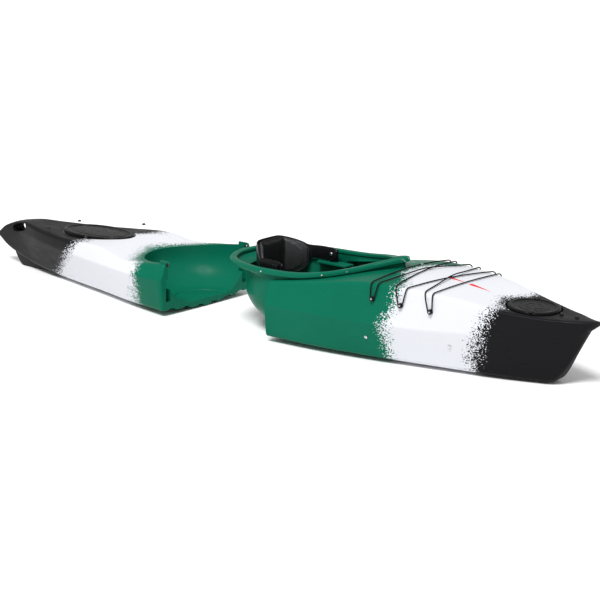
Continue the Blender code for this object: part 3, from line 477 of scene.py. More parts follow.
def edge_point(x, side):
    """A point of the cord where it turns over the deck's edge."""
    edge_w, edge_z = lines_at(BOW_LINES, x)[5:7]
    return Vector((x, side * (edge_w + 0.004), edge_z + 0.0065))


def panel_point(x, side, share):
    """A point on the side panel, a share of the way from the fitting up to the deck edge."""
    offsets = lines_at(BOW_LINES, x)
    low = smooth_line(FITTING_HEIGHTS, x)
    point, normal = on_side(x, low + (offsets[6] - low) * share, side)
    return point + normal * (CORD_HEIGHT + 0.002 * share)


def cord_turn(x, side, direction):
    """Half a turn of the cord under one fitting, below its neck."""
    foot, normal = on_side(x, smooth_line(FITTING_HEIGHTS, x), side)
    along = Vector((1, 0, 0)) - normal * normal.x
    along.normalize()
    down = normal.cross(along)
    if down.z > 0:
        down = -down
    points = []
    for degrees in (-60, -20, 20, 60):
        angle = radians(degrees)
        points.append(foot + normal * CORD_HEIGHT + along * (direction * CORD_TURN * sin(angle))
                      + down * (CORD_TURN * cos(angle)))
    return points


def stacked_oval(profile):
    """Rings on the stern hatch's oval, one for each (inset, height) of a profile."""
    base = deck_height(STERN_LINES, STERN_HATCH_AFT, 0) + STERN_HATCH_RISE
    rings = []
    for inset, height in profile:
        outline = oval(STERN_HATCH_HALF_LENGTH - inset, STERN_HATCH_HALF_WIDTH - inset)
        rings.append([Vector((x, y, base + height)) for x, y in outline])
    return rings


def both_sides(path):
    """A path of (x, y, bottom, top) from the middle to port, carried on to starboard."""
    return [(x, -y, low, high) for x, y, low, high in reversed(path[1:])] + list(path)


def mirrored_wall(name, path, thickness, mat):
    """The CAD's upright sheet along a path, smoothed across the middle, the same on both sides."""
    fine = [tuple(p) for p in through(both_sides(path), 6)]
    full = both_sides(fine[len(fine) // 2:])
    soft = 0.004
    rings = []
    for k, (x, y, low, high) in enumerate(full):
        before = full[max(k - 1, 0)]
        after = full[min(k + 1, len(full) - 1)]
        along = Vector((after[0] - before[0], after[1] - before[1], 0)).normalized()
        out = Vector((along.y, -along.x, 0)) * (thickness / 2)
        corners = ((1, low + soft), (1, high - soft), (0.3, high), (-0.3, high),
                   (-1, high - soft), (-1, low + soft), (-0.3, low), (0.3, low))
        rings.append([Vector((x, y, height)) + out * across for across, height in corners])
    return loft(name, rings, mat)


def through(points, steps):
    """Points of a smooth curve through the given ones (any dimension)."""
    points = [Vector(p) for p in points]
    result = []
    for i in range(len(points) - 1):
        before = points[max(i - 1, 0)]
        after = points[min(i + 2, len(points) - 1)]
        for s in range(steps):
            result.append(between(before, points[i], points[i + 1], after, s / steps))
    result.append(points[-1])
    return result


# ---------------- materials
class Nodes:
    """Short way to build a material's node tree."""

    def __init__(self, name, roughness, metallic=0.0, specular=0.5):
        self.mat = bpy.data.materials.new(name)
        self.mat.use_nodes = True
        self.tree = self.mat.node_tree
        self.shader = self.tree.nodes["Principled BSDF"]
        self.shader.inputs["Roughness"].default_value = roughness
        self.shader.inputs["Metallic"].default_value = metallic
        self.shader.inputs["Specular IOR Level"].default_value = specular
        self.place = self.add("ShaderNodeTexCoord").outputs["Object"]

    def add(self, kind, **settings):
        node = self.tree.nodes.new(kind)
        for key, value in settings.items():
            setattr(node, key, value)
        return node

    def link(self, value, socket):
        """Sets a socket from another socket, a number or a colour."""
        if isinstance(value, bpy.types.NodeSocket):
            self.tree.links.new(value, socket)
        else:
            socket.default_value = value

    def axes(self):
        """The place's three coordinates."""
        split = self.add("ShaderNodeSeparateXYZ")
        self.link(self.place, split.inputs[0])
        return split.outputs

    def cells(self, scale, feature="F1"):
        node = self.add("ShaderNodeTexVoronoi", feature=feature)
        self.link(self.place, node.inputs["Vector"])
        node.inputs["Scale"].default_value = scale
        return node.outputs["Distance"]

    def math(self, operation, a, b=0.0):
        node = self.add("ShaderNodeMath", operation=operation)
        self.link(a, node.inputs[0])
        self.link(b, node.inputs[1])
        return node.outputs[0]

    def ramp(self, value, low, high, out_low=0.0, out_high=1.0, smooth=True):
        node = self.add("ShaderNodeMapRange", interpolation_type="SMOOTHSTEP" if smooth else "LINEAR")
        for socket, number in zip(node.inputs, (value, low, high, out_low, out_high)):
            self.link(number, socket)
        return node.outputs[0]

    def noise(self, scale, detail=2.0, roughness=0.5, stretch=(1, 1, 1)):
        place = self.place
        if stretch != (1, 1, 1):
            mapping = self.add("ShaderNodeMapping")
            self.link(place, mapping.inputs["Vector"])
            mapping.inputs["Scale"].default_value = stretch
            place = mapping.outputs[0]
        node = self.add("ShaderNodeTexNoise")
        self.link(place, node.inputs["Vector"])
        node.inputs["Scale"].default_value = scale
        node.inputs["Detail"].default_value = detail
        node.inputs["Roughness"].default_value = roughness
        return node.outputs["Fac"]

    def mix(self, factor, a, b):
        node = self.add("ShaderNodeMix", data_type="RGBA")
        self.link(factor, node.inputs["Factor"])
        self.link(a, node.inputs[6])
        self.link(b, node.inputs[7])
        return node.outputs[2]

    def colour(self, value):
        self.link(value, self.shader.inputs["Base Color"])

    def rough(self, value):
        self.link(value, self.shader.inputs["Roughness"])

    def bump(self, layers):
        """Stacks bumps: (height, strength, distance in metres)."""
        normal = None
        for height, strength, distance in layers:
            node = self.add("ShaderNodeBump")
            node.inputs["Strength"].default_value = strength
            node.inputs["Distance"].default_value = distance
            self.link(height, node.inputs["Height"])
            if normal:
                self.link(normal, node.inputs["Normal"])
            normal = node.outputs[0]
        self.link(normal, self.shader.inputs["Normal"])


FRONT_ROUND = 0.016  # rounding of the stern's front edge
PAD_SWELL = 0.008  # furthest that the backrest pad's filling pushes its cover
BACK_SHARE = 0.06  # share of that swelling on the side that lies against the shell
PIPING_RADIUS = 0.0022
PIPING_AHEAD = 0.0045  # the piping's seam, in front of the middle of the pad and in from its edge
PIPING_INSET = 0.0055
YARN_PITCH = 0.0016  # of the cord's weave

GREEN = (0.003, 0.138, 0.080, 1.0)
DEEP_GREEN = (0.002, 0.105, 0.058, 1.0)
WHITE = (0.66, 0.67, 0.71, 1.0)
BLACK = (0.009, 0.009, 0.010, 1.0)
RED = (0.70, 0.012, 0.010, 1.0)
TRIM_TONES = (0.004, 0.004, 0.005, 1), (0.010, 0.010, 0.011, 1)  # each finish's darker and lighter tone
RUBBER_TONES = (0.002, 0.002, 0.002, 1), (0.006, 0.006, 0.006, 1)
COVER_TONES = (0.003, 0.003, 0.003, 1), (0.009, 0.009, 0.010, 1)
CORD_TONES = (0.002, 0.002, 0.002, 1), (0.007, 0.007, 0.007, 1)
STEEL_TONES = (0.52, 0.52, 0.53, 1), (0.70, 0.70, 0.71, 1)
FOAM_TONES = (0.045, 0.047, 0.050, 1), (0.085, 0.087, 0.092, 1)
PALE_WING_AND_TOP_LIGHT_TONE = (0.052, 0.053, 0.055, 1)  # paler tone of the pad's cover on its wings, reached in full only at the top, where it is painted light

# Where the hulls change colour, in the frame's X.
SPECK_WIDTH = 0.050
BOW_GREEN_END = (0.905, 1.012)  # at the middle and at the side
BOW_GREEN_LOW = 0.045  # ends this much sooner low on the side
BOW_BLACK_START = 1.335
BOW_BLACK_LEAN = 0.42
BOW_BLACK_HOLLOW = 0.065  # starts this much sooner in the deck's middle
STRIPES = ((1.105, 1.212, 0.0110), (1.222, 1.340, 0.0125))  # start, point and half width
STERN_BLACK_END = 1.385  # aft of the frame's middle
STERN_BLACK_LEAN = 1.20
STERN_SPECK_WIDTH = 0.060
SOCKET_SPECK_WIDTH = 0.040
STERN_GREEN_START = 0.585  # aft of the frame's middle, on the sides
GREEN_OVAL_AFT = 0.387  # green oval round the socket: middle and half sizes
GREEN_OVAL_LENGTH = 0.372
GREEN_OVAL_WIDTH = 0.335
GREEN_OVAL_REACH = 0.33  # the oval's size, in metres, for its specks
GREEN_ONLY = 0.915  # share of the oval that holds no specks


def plastic_finish(nodes):
    """Moulded polyethylene: faint orange peel, slow waviness and an uneven gloss."""
    peel = nodes.noise(420.0, 2.0)
    wave = nodes.noise(5.0, 1.0)
    scuff = nodes.noise(38.0, 5.0, 0.65, stretch=(0.25, 1.0, 1.0))
    nodes.rough(nodes.ramp(scuff, 0.30, 0.75, 0.26, 0.42))
    nodes.bump([(wave, 0.20, 0.010), (peel, 0.10, 0.0006)])


def drift(nodes, amount):
    """Slow wandering of an edge between two colours."""
    return nodes.math("MULTIPLY", nodes.math("SUBTRACT", nodes.noise(7.0, 2.0), 0.5), amount)


def past(nodes, x, edge, slow):
    """How far a place is ahead of an edge that drifts."""
    return nodes.math("ADD", nodes.math("SUBTRACT", x, edge), slow)


def splatter(nodes, ahead, width, base, paint):
    """Changes from one colour to the next in a spray of specks, where ahead (metres) passes 0."""
    coarse = nodes.noise(60.0, 1.0, stretch=(0.8, 1.0, 1.0))
    fine = nodes.noise(180.0, 1.0, stretch=(0.8, 1.0, 1.0))
    grain = nodes.math("ADD", nodes.math("MULTIPLY", coarse, 0.22), nodes.math("MULTIPLY", fine, 0.78))
    spread = nodes.ramp(grain, 0.33, 0.67, -1.0, 1.0, smooth=False)
    level = nodes.math("ADD", nodes.math("DIVIDE", ahead, width), spread)
    return nodes.mix(nodes.ramp(level, -0.08, 0.08), base, paint)


def bow_paint():
    """Green, then white, then black towards the bow, with two thin red stripes on the foredeck."""
    nodes = Nodes("bow_paint", 0.34, specular=0.05)
    x, y, z = nodes.axes()
    off = nodes.math("ABSOLUTE", y)
    slow = drift(nodes, 0.09)

    green = nodes.mix(nodes.noise(3.0, 2.0), DEEP_GREEN, GREEN)
    low = nodes.ramp(z, 0.17, 0.30, BOW_GREEN_LOW, 0.0)
    front = nodes.math("SUBTRACT", nodes.ramp(off, 0.04, 0.235, *BOW_GREEN_END), low)
    ahead = past(nodes, x, front, slow)
    colour = splatter(nodes, ahead, SPECK_WIDTH, green, WHITE)

    rake = nodes.math("ADD", nodes.math("MULTIPLY", z, BOW_BLACK_LEAN), BOW_BLACK_START)
    middle = nodes.ramp(off, 0.0, 0.17, BOW_BLACK_HOLLOW, 0.0)
    hollow = nodes.math("MULTIPLY", middle, nodes.ramp(z, 0.28, 0.32))
    start = nodes.math("SUBTRACT", rake, hollow)
    ahead = past(nodes, x, start, slow)
    colour = splatter(nodes, ahead, SPECK_WIDTH, colour, BLACK)

    deck = nodes.ramp(z, 0.30, 0.31)
    for begin, end, widest in STRIPES:
        taper = nodes.math("MULTIPLY", nodes.ramp(x, begin, end, widest, 0.0, smooth=False),
                           nodes.ramp(x, begin - 0.002, begin))
        inside = nodes.math("LESS_THAN", off, taper)
        colour = nodes.mix(nodes.math("MULTIPLY", inside, deck), colour, RED)
    nodes.colour(colour)
    plastic_finish(nodes)
    return nodes.mat


def stern_paint():
    """Black tip, white middle and green round the socket."""
    nodes = Nodes("stern_paint", 0.34, specular=0.05)
    x, y, z = nodes.axes()
    slow = drift(nodes, 0.10)

    rake = nodes.math("SUBTRACT", nodes.math("MULTIPLY", z, STERN_BLACK_LEAN), STERN_BLACK_END)
    over = nodes.math("MULTIPLY", nodes.ramp(y, -0.05, 0.20, 0.0, 0.16), nodes.ramp(z, 0.20, 0.24))
    ahead = past(nodes, x, nodes.math("ADD", rake, over), slow)
    colour = splatter(nodes, ahead, STERN_SPECK_WIDTH, BLACK, WHITE)

    green = nodes.mix(nodes.noise(3.0, 2.0), DEEP_GREEN, GREEN)
    side = nodes.math("ADD", x, STERN_GREEN_START)
    from_middle = nodes.math("ADD", x, GREEN_OVAL_AFT)
    along = nodes.math("POWER", nodes.math("DIVIDE", from_middle, GREEN_OVAL_LENGTH), 2.0)
    across = nodes.math("POWER", nodes.math("DIVIDE", y, GREEN_OVAL_WIDTH), 2.0)
    reach = nodes.math("SQRT", nodes.math("ADD", along, across))
    ring = nodes.math("MULTIPLY", nodes.math("SUBTRACT", 1.0, reach), GREEN_OVAL_REACH)
    ahead = nodes.math("ADD", nodes.math("MAXIMUM", side, ring), nodes.math("MULTIPLY", slow, 0.5))
    colour = splatter(nodes, ahead, SOCKET_SPECK_WIDTH, colour, green)
    nodes.colour(nodes.mix(nodes.math("LESS_THAN", reach, GREEN_ONLY), colour, green))
    plastic_finish(nodes)
    return nodes.mat


def plain_plastic(name, dark, light, roughness, grain=900.0, specular=0.12):
    """Moulded trim in one colour: fine grain, faint mottling and uneven gloss."""
    nodes = Nodes(name, roughness, specular=specular)
    nodes.colour(nodes.mix(nodes.noise(30.0, 4.0), dark, light))
    nodes.rough(nodes.ramp(nodes.noise(70.0, 4.0), 0.3, 0.7, roughness - 0.06, roughness + 0.08))
    nodes.bump([(nodes.noise(grain, 2.0), 0.25, 0.0005)])
    return nodes.mat


def steel_finish():
    """Brushed stainless steel."""
    nodes = Nodes("stainless", 0.28, metallic=1.0)
    nodes.colour(nodes.mix(nodes.noise(60.0, 3.0), *STEEL_TONES))
    nodes.rough(nodes.ramp(nodes.noise(300.0, 3.0, stretch=(0.2, 1, 1)), 0.3, 0.7, 0.20, 0.38))
    nodes.bump([(nodes.noise(700.0, 2.0), 0.15, 0.0003)])
    return nodes.mat


def foam_finish():
    """Closed-cell foam: fine open pores in dark grey."""
    nodes = Nodes("foam", 0.9, specular=0.2)
    cells = nodes.cells(380.0)
    nodes.colour(nodes.mix(nodes.noise(40.0, 3.0), *FOAM_TONES))
    nodes.bump([(cells, 0.5, 0.0012)])
    return nodes.mat


def coated_finish(name, dark, light):
    """Coated fabric: a leathery grain of small cells over a soft, uneven gloss, paler on the wings, where
    painted light lightens that paler tone towards the top.
    """
    nodes = Nodes(name, 0.40, specular=0.30)
    grain = nodes.ramp(nodes.cells(620.0, "DISTANCE_TO_EDGE"), 0.0, 0.12)
    _, y, z = nodes.axes()
    wing = nodes.ramp(nodes.math("ABSOLUTE", y), 0.078, 0.083)
    # painted light: the wings' paler tone grows towards the top, standing in for light falling on the pad's
    # upper part
    high = nodes.ramp(z, 0.25, 0.40, 0.25, 1.0)
    tint = nodes.mix(nodes.noise(22.0, 4.0), dark, light)
    nodes.colour(nodes.mix(nodes.math("MULTIPLY", wing, high), tint, PALE_WING_AND_TOP_LIGHT_TONE))
    nodes.rough(nodes.ramp(nodes.noise(45.0, 4.0), 0.3, 0.7, 0.32, 0.50))
    nodes.bump([(nodes.noise(26.0, 2.0), 0.25, 0.0040), (grain, 0.30, 0.0005)])
    return nodes.mat


def woven_finish(name, dark, light, pitch):
    """Plain weave: two crossed sets of yarns, with a soft sheen."""
    nodes = Nodes(name, 0.80, specular=0.12)
    nodes.shader.inputs["Sheen Weight"].default_value = 0.04
    nodes.shader.inputs["Sheen Roughness"].default_value = 0.5
    x, y, z = nodes.axes()
    around = nodes.math("ADD", y, nodes.math("MULTIPLY", x, 0.7))
    yarns = [nodes.math("SINE", nodes.math("MULTIPLY", run, tau / pitch)) for run in (around, z)]
    weave = nodes.math("MULTIPLY", *yarns)
    fuzz = nodes.noise(800.0, 3.0)
    shadow = nodes.ramp(nodes.math("ADD", weave, nodes.math("MULTIPLY", fuzz, 0.8)), -0.6, 1.2)
    tint = nodes.mix(nodes.noise(18.0, 3.0), dark, light)
    nodes.colour(nodes.mix(nodes.math("MULTIPLY", shadow, 0.55), tint, light))
    nodes.bump([(weave, 0.45, 0.0006), (fuzz, 0.2, 0.0004)])
    return nodes.mat


hull_bow = bow_paint()
hull_stern = stern_paint()
moulded_green = plain_plastic("moulded_green", DEEP_GREEN, GREEN, 0.36)
black_trim = plain_plastic("black_trim", *TRIM_TONES, 0.30, specular=0.25)
black_rubber = plain_plastic("black_rubber", *RUBBER_TONES, 0.30, 500.0, 0.10)
shell_black = plain_plastic("shell_black", *TRIM_TONES, 0.30, 700.0)
stainless = steel_finish()
foam = foam_finish()
pad_cover = coated_finish("pad_cover", *COVER_TONES)
cord_cloth = woven_finish("cord_cloth", *CORD_TONES, YARN_PITCH)

SLOT_FINISH = {
    "seat_pan": moulded_green, "foam": foam, "hatch_rim": black_trim, "hatch_seal": black_rubber,
    "hatch_lid": black_rubber, "fin": black_trim, "pedals": black_trim, "fittings": black_trim,
    "bolts": stainless, "cord": cord_cloth, "backrest_shell": shell_black, "backrest_pad": pad_cover,
    "bow_hull": hull_bow, "stern_hull": hull_stern,
}
slot_of = {part["node"]: part["material_slot"] for part in frame["record"]["subparts"]}
for name, node in frame["nodes"].items():
    node.data.materials.clear()
    node.data.materials.append(SLOT_FINISH[slot_of[name]])


# ---------------- hulls
# Barrel's flare up to the coaming: share of the way out, and height.
FLARE = ((0.20, 0.2915), (0.45, 0.296), (0.68, 0.300), (0.85, 0.304), (0.95, 0.308), (1.0, 0.312))
# Coaming's edge in section: inset from its outline, and drop below its top.
LIP_PROFILE = (
    (0.012, 0.0), (0.006, 0.001), (0.002, 0.0036), (0.0, 0.008), (0.0, 0.018), (0.0012, 0.022),
    (0.004, 0.024), (0.0075, 0.023), (0.009, 0.0205), (0.01, LIP_THICK + 0.001),
    (0.016, LIP_THICK), (LIP_WIDTH - 0.003, LIP_THICK), (LIP_WIDTH, LIP_THICK - 0.004),
    (LIP_WIDTH + 0.0005, 0.007), (LIP_WIDTH - 0.001, 0.003), (LIP_WIDTH - 0.006, 0.0006),
)


def smooth_profile():
    """The barrel's (height, radius) points, smoothed."""
    return [(p.x, p.y) for p in through(BARREL_PROFILE, 5)]


def barrel(name, inset, top, mat):
    """Round rear end of the bow section, flared out at the top to carry the coaming."""
    rings = []
    profile = smooth_profile()
    for height, radius in profile:
        low = inset if height == profile[0][0] else 0.0
        rings.append(barrel_ring(height + low, radius, -inset, 0.0))
    neck = rings[-1]
    riser = coaming_outline(RISER_INSET + inset)
    for share, height in FLARE:
        rings.append([Vector((*n.lerp(r, share).xy, height + inset)) for n, r in zip(neck, riser)])
    rings.append([Vector((p.x, p.y, p.z + top)) for p in riser])
    return loft(name, rings, mat)


def coaming_lip(mat):
    """The coaming's rolled edge, rounded inside and out."""
    loops = [(coaming_outline(inset), drop) for inset, drop in LIP_PROFILE]
    rings = []
    for k in range(COAMING_STEPS):
        rings.append([Vector((loop[k].x, loop[k].y, loop[k].z - drop)) for loop, drop in loops])
    return loft("coaming_lip", rings, mat, closed=True)


def round_plug(name, radius, low, high):
    """A plug on the round hatch's axis, with heights over the flat that the rim stands on."""
    profile = [(0, low), (radius, low), (radius, high), (0, high)]
    return turned(name, BOW_HATCH_CENTRE, BOW_HATCH_AXIS, profile, hull_bow, sides=96)


def oval_plug(name, grow, low, high):
    """A plug in the oval hatch's outline, grown by a distance."""
    outline = oval(STERN_HATCH_HALF_LENGTH + grow, STERN_HATCH_HALF_WIDTH + grow)
    return prism(name, outline, low, high, hull_stern)


def socket(name, grow):
    """The barrel's form in the stern section, grown by a distance."""
    profile = smooth_profile()
    lowest = profile[0][0]
    rings = [barrel_ring(z - (grow if z == lowest else 0.0), r, grow, -JOINT_GAP) for z, r in profile]
    rings.append([p + Vector((0, 0, 0.05)) for p in rings[-1]])
    return loft(name, rings, hull_stern)


def bow_hull_look():
    """The bow's moulding: shell, barrel, coaming, hatch well, bolt holes and tongue pockets."""
    stations = span(0.0, 1.38, 47) + span(1.39, 1.56, 18)
    stations += [1.568, 1.572, 1.576, 1.585, 1.60, 1.61, BOW_LENGTH]
    outside = [bow_section(x) for x in stations]
    hull = loft("bow_shell", outside, hull_bow)
    join(hull, barrel("barrel_outer", 0.0, -LIP_THICK / 2, hull_bow))
    hollow = [x for x in stations if x < 1.46]
    hollow[0] = WALL
    cut(hull, loft("hollow", [bow_section(x, WALL) for x in hollow], hull_bow))
    cut(hull, barrel("cockpit_opening", WALL, 0.030, hull_bow))

    collar = round_plug("hatch_collar", BOW_HATCH_RIM + COLLAR_WALL, -COLLAR_DEPTH, COLLAR_TOP)
    boolean(collar, loft("collar_limit", outside, hull_bow), "INTERSECT")
    join(hull, collar)
    cut(hull, round_plug("hatch_well", BOW_HATCH_RIM, 0, WELL_TOP))
    cut(hull, round_plug("hatch_hole", BOW_HATCH_HOLE, -0.08, 0.03))

    for side in (-1, 1):
        for x, z in RAIL_BOLTS:
            foot, normal = on_side(x, z, side)
            cut(hull, rod("bolt_hole", foot - normal * 0.012, foot + normal * 0.012, BOLT_HOLE, hull_bow))
        join(hull, side_box("pocket_wall", side, (0.001, 0.2685, 0.2345), (0.0340, 0.2925, 0.2775), hull_bow))
        cut(hull, side_box("pocket", side, (-0.010, 0.2735, 0.2385), (0.0290, 0.2875, 0.2735), hull_bow))
    join(hull, coaming_lip(hull_bow))
    shade(hull, 30)
    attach(hull, "bow_section")
    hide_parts("bow_hull")


def grab_slot_outline():
    """The grab slot's soft, tilted oblong, in X and Z."""
    outline = []
    for c, s in circle(48):
        along = GRAB_SLOT_HALF_LENGTH * abs(c) ** 0.6 * copysign(1, c)
        across = GRAB_SLOT_HALF_HEIGHT * abs(s) ** 0.7 * copysign(1, s)
        point = Matrix.Rotation(GRAB_SLOT_TILT, 2) @ Vector((along, across))
        outline.append((-JOINT_GAP - GRAB_SLOT_AFT + point.x, GRAB_SLOT_HEIGHT + point.y))
    return outline


def tongue_outline():
    """A locking tongue with its round front, in X and Z."""
    x, z = TONGUE_EYE
    outline = []
    for k in range(25):
        angle = radians(-90 + 7.5 * k)
        outline.append((x + TONGUE_RADIUS * cos(angle), z + TONGUE_RADIUS * sin(angle)))
    return outline + [(x - TONGUE_LENGTH, z + TONGUE_RADIUS), (x - TONGUE_LENGTH, z - TONGUE_RADIUS)]


def stern_hull_look():
    """The stern's moulding: shell, socket, hatch well, grab slot, scallops, grooves and tongues."""
    stations = span(0.030, 0.34, 14) + span(0.36, 1.10, 26) + span(1.13, 1.49, 19)
    stations += [1.50, 1.51, STERN_LENGTH]
    front = []
    for degrees in range(90, -1, -15):
        angle = radians(degrees)
        inset = FRONT_ROUND * (1 - cos(angle)) * 0.7
        front.append(stern_section(FRONT_ROUND * (1 - sin(angle)), inset))
    outside = [stern_section(aft) for aft in stations]
    hull = loft("stern_shell", front + outside, hull_stern)
    inner = [0.10, 0.13, 0.17, 0.21, 0.25, 0.30] + [aft for aft in stations if 0.34 < aft < 1.20]
    hollow = loft("hollow", [stern_section(aft, WALL) for aft in inner], hull_stern)
    cut(hollow, socket("socket_wall", SOCKET_CLEAR + WALL))
    cut(hull, hollow)
    cut(hull, socket("socket_space", SOCKET_CLEAR))

    deck = deck_height(STERN_LINES, STERN_HATCH_AFT, 0)
    flat = deck + STERN_HATCH_RISE
    collar = oval_plug("hatch_collar", COLLAR_WALL, flat - COLLAR_DEPTH, flat + COLLAR_TOP)
    boolean(collar, loft("collar_limit", outside, hull_stern), "INTERSECT")
    join(hull, collar)
    cut(hull, oval_plug("hatch_well", 0, flat, flat + WELL_TOP))
    cut(hull, oval_plug("hatch_hole", -HATCH_FLANGE, deck - 0.060, deck + 0.060))

    cut(hull, side_plate("grab_slot", grab_slot_outline(), -0.12, 0.12, hull_stern))
    for y in SCALLOPS:
        rise = 0.028 * abs(y) / 0.318    # of the bottom, out to its corner
        start = (-JOINT_GAP - 0.060, y, rise - 0.042)
        end = (-JOINT_GAP + 0.01, y, rise - 0.036)
        cut(hull, rod("lip_scallop", start, end, 0.050, hull_stern, sides=128))
    for side in (-1, 1):
        near, far = (-JOINT_GAP - 0.030, 0.256, 0.070), (-JOINT_GAP + 0.01, 0.290, 0.182)
        cut(hull, side_box("key_groove", side, near, far, hull_stern))
        low, high = sorted((side * 0.2755, side * 0.2855))
        join(hull, side_plate("tongue", tongue_outline(), low, high, hull_stern))
        x, z = TONGUE_EYE
        inner, outer = (x, side * 0.2685, z), (x, side * 0.31, z)
        cut(hull, rod("tongue_hole", inner, outer, TONGUE_HOLE, hull_stern, sides=40))
    shade(hull, 30)
    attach(hull, "stern_section")
    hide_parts("stern_hull")


bow_hull_look()
stern_hull_look()


# ---------------- backrest
def closed_tube(name, kind, points, radius, facets, mat):
    """A closed round cord through points in the lines' X."""
    curve = bpy.data.curves.new(name, "CURVE")
    curve.dimensions = "3D"
    curve.bevel_depth = radius
    curve.bevel_resolution = facets
    curve.resolution_u = 6
    spline = curve.splines.new(kind)
    spline.points.add(len(points) - 1)
    for target, (x, y, z) in zip(spline.points, points):
        target.co = (x + SHIFT, y, z, 1.0)
    spline.order_u = 3
    spline.use_cyclic_u = True
    curve.materials.append(mat)
    return add_object(name, curve)


def backrest_look():
    """The shell, with the holes of its two pivot bolts."""
    shell = mirrored_wall("backrest_panel", BACKREST_SHELL, 0.008, shell_black)
    for side in (-1, 1):
        inner = (PIVOT.x, side * 0.18, PIVOT.z)
        outer = (PIVOT.x, side * 0.21, PIVOT.z)
        cut(shell, rod("pivot_hole", inner, outer, BOLT_HOLE, None, 24))
    shade(shell, 40)
    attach(shell, "backrest")
    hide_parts("backrest_shell")


def swell(pad, limit):
    """Pumps a closed form up with a short cloth simulation; no point moves further than the limit."""
    cloth = pad.modifiers.new("cloth", "CLOTH")
    cloth.settings.use_pressure = True
    cloth.settings.uniform_pressure_force = 4.0
    cloth.settings.effector_weights.gravity = 0.0
    cloth.point_cache.frame_end = 20
    for frame_number in range(1, 21):
        bpy.context.scene.frame_set(frame_number)
    evaluated = pad.evaluated_get(bpy.context.evaluated_depsgraph_get())
    after = [v.co.copy() for v in evaluated.data.vertices]
    pad.modifiers.remove(cloth)
    bpy.context.scene.frame_set(1)
    for vertex, new in zip(pad.data.vertices, after):
        move = new - vertex.co
        if move.x < 0:
            move.x *= BACK_SHARE
        vertex.co = vertex.co + move.normalized() * min(move.length, limit)


def backrest_pad_look():
    """Padded cover: the CAD pad's form swelled by its filling, with a piped seam round its edge."""
    pad = mirrored_wall("backrest_cushion", BACKREST_PAD, 0.011, pad_cover)
    remesh = pad.modifiers.new("remesh", "REMESH")
    remesh.mode = "VOXEL"
    remesh.voxel_size = 0.004
    apply(pad)
    swell(pad, PAD_SWELL)
    pad.modifiers.new("subdivision", "SUBSURF").levels = 1
    apply(pad)
    shade(pad, 60)
    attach(pad, "backrest")
    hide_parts("backrest_pad")

    fine = through(both_sides(BACKREST_PAD), 4)
    top = [(x + PIPING_AHEAD, y, high - PIPING_INSET) for x, y, _, high in fine]
    bottom = [(x + PIPING_AHEAD, y, low + PIPING_INSET) for x, y, low, _ in reversed(fine)]
    seam = closed_tube("pad_piping", "POLY", top + bottom, PIPING_RADIUS, 3, pad_cover)
    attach(seam, "backrest")


backrest_look()
backrest_pad_look()


# ---------------- hatches
# Round lid and rim: radius, and height over the flat that the rim stands on.
ROUND_LID = (
    (0, 0.017), (0.06, 0.017), (0.1015, 0.017), (0.1015, 0.0058), (0.116, 0.0058), (0.1176, 0.007),
    (0.118, 0.0095), (0.1172, 0.0104), (0.118, 0.0115), (0.118, 0.016), (0.1172, 0.0195),
    (0.115, 0.0225), (0.112, 0.024), (0.099, 0.024), (0.0965, 0.0232), (0.0945, 0.0212),
    (0.093, 0.0205), (0.072, 0.0209), (0.0712, 0.0219), (0.068, 0.0219), (0.0672, 0.021),
    (0.04, 0.0215), (0.0392, 0.0225), (0.036, 0.0225), (0.0352, 0.0215), (0, 0.0216),
)
ROUND_RIM = (
    (0.0935, CLEAR), (0.1256, CLEAR), (0.126, 0.001), (0.1255, 0.0034), (0.1245, 0.004),
    (0.119, 0.0044), (0.1184, 0.0036), (0.115, 0.0037), (0.114, 0.0046), (0.101, 0.005),
    (0.1003, 0.0056), (0.1, 0.0132), (0.0992, 0.014), (0.0943, 0.014), (0.0935, 0.0132),
)
PULL_TAB = (
    (0, -0.0045), (0.012, -0.0045), (0.0128, 0.0025), (0.011, 0.0048), (0.006, 0.0048),
    (0.0045, 0.003), (0, 0.003),
)
TAB_TURNS = (-62, 118)  # degrees round the lid
TAB_RADIUS = 0.107
TAB_HEIGHT = 0.0225
# Oval lid and rim: inset from the rim's outline, and height over the flat.
OVAL_LID = (
    (0.06, 0.017), (0.0265, 0.017), (0.0265, 0.0058), (0.011, 0.0058), (0.0098, 0.0068),
    (0.01, 0.0092), (0.0106, 0.01), (0.0098, 0.0108), (0.0092, 0.015), (0.01, 0.018),
    (0.0122, 0.0206), (0.0155, 0.0222), (0.028, 0.0225), (0.0305, 0.0216), (0.0325, 0.0197),
    (0.034, 0.019), (0.052, 0.0198), (0.0528, 0.021), (0.056, 0.0211), (0.0568, 0.0201),
    (0.08, 0.0212),
)
OVAL_RIM = (
    (0.0345, CLEAR), (0.0014, CLEAR), (0.001, 0.001), (0.0015, 0.0034), (0.0025, 0.0041),
    (0.008, 0.0044), (0.0086, 0.0036), (0.012, 0.0037), (0.013, 0.0046), (0.0262, 0.005),
    (0.0277, 0.0056), (0.028, 0.0132), (0.0288, 0.014), (0.0337, 0.014), (0.0345, 0.0132),
)


def bow_hatch_look():
    """Rubber lid of the round hatch with its grip rings, dished middle and pull tabs, on a ribbed rim."""
    lid = turned("round_lid", BOW_HATCH_CENTRE, BOW_HATCH_AXIS, ROUND_LID, black_rubber, sides=120)
    for degrees in TAB_TURNS:
        reach = Matrix.Rotation(radians(degrees), 3, "Z") @ Vector((TAB_RADIUS, 0, 0))
        place = BOW_HATCH_CENTRE + reach + Vector((0, 0, TAB_HEIGHT - BOW_HATCH_SLOPE * reach.x))
        join(lid, turned("pull_tab", place, BOW_HATCH_AXIS, PULL_TAB, black_rubber, sides=40))
    shade(lid, 35)
    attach(lid, "bow_lid")
    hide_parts("bow_hatch_lid")

    rim = turned("round_rim", BOW_HATCH_CENTRE, BOW_HATCH_AXIS, ROUND_RIM, black_trim, sides=120)
    shade(rim, 35)
    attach(rim, "bow_section")
    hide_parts("bow_hatch_rim")


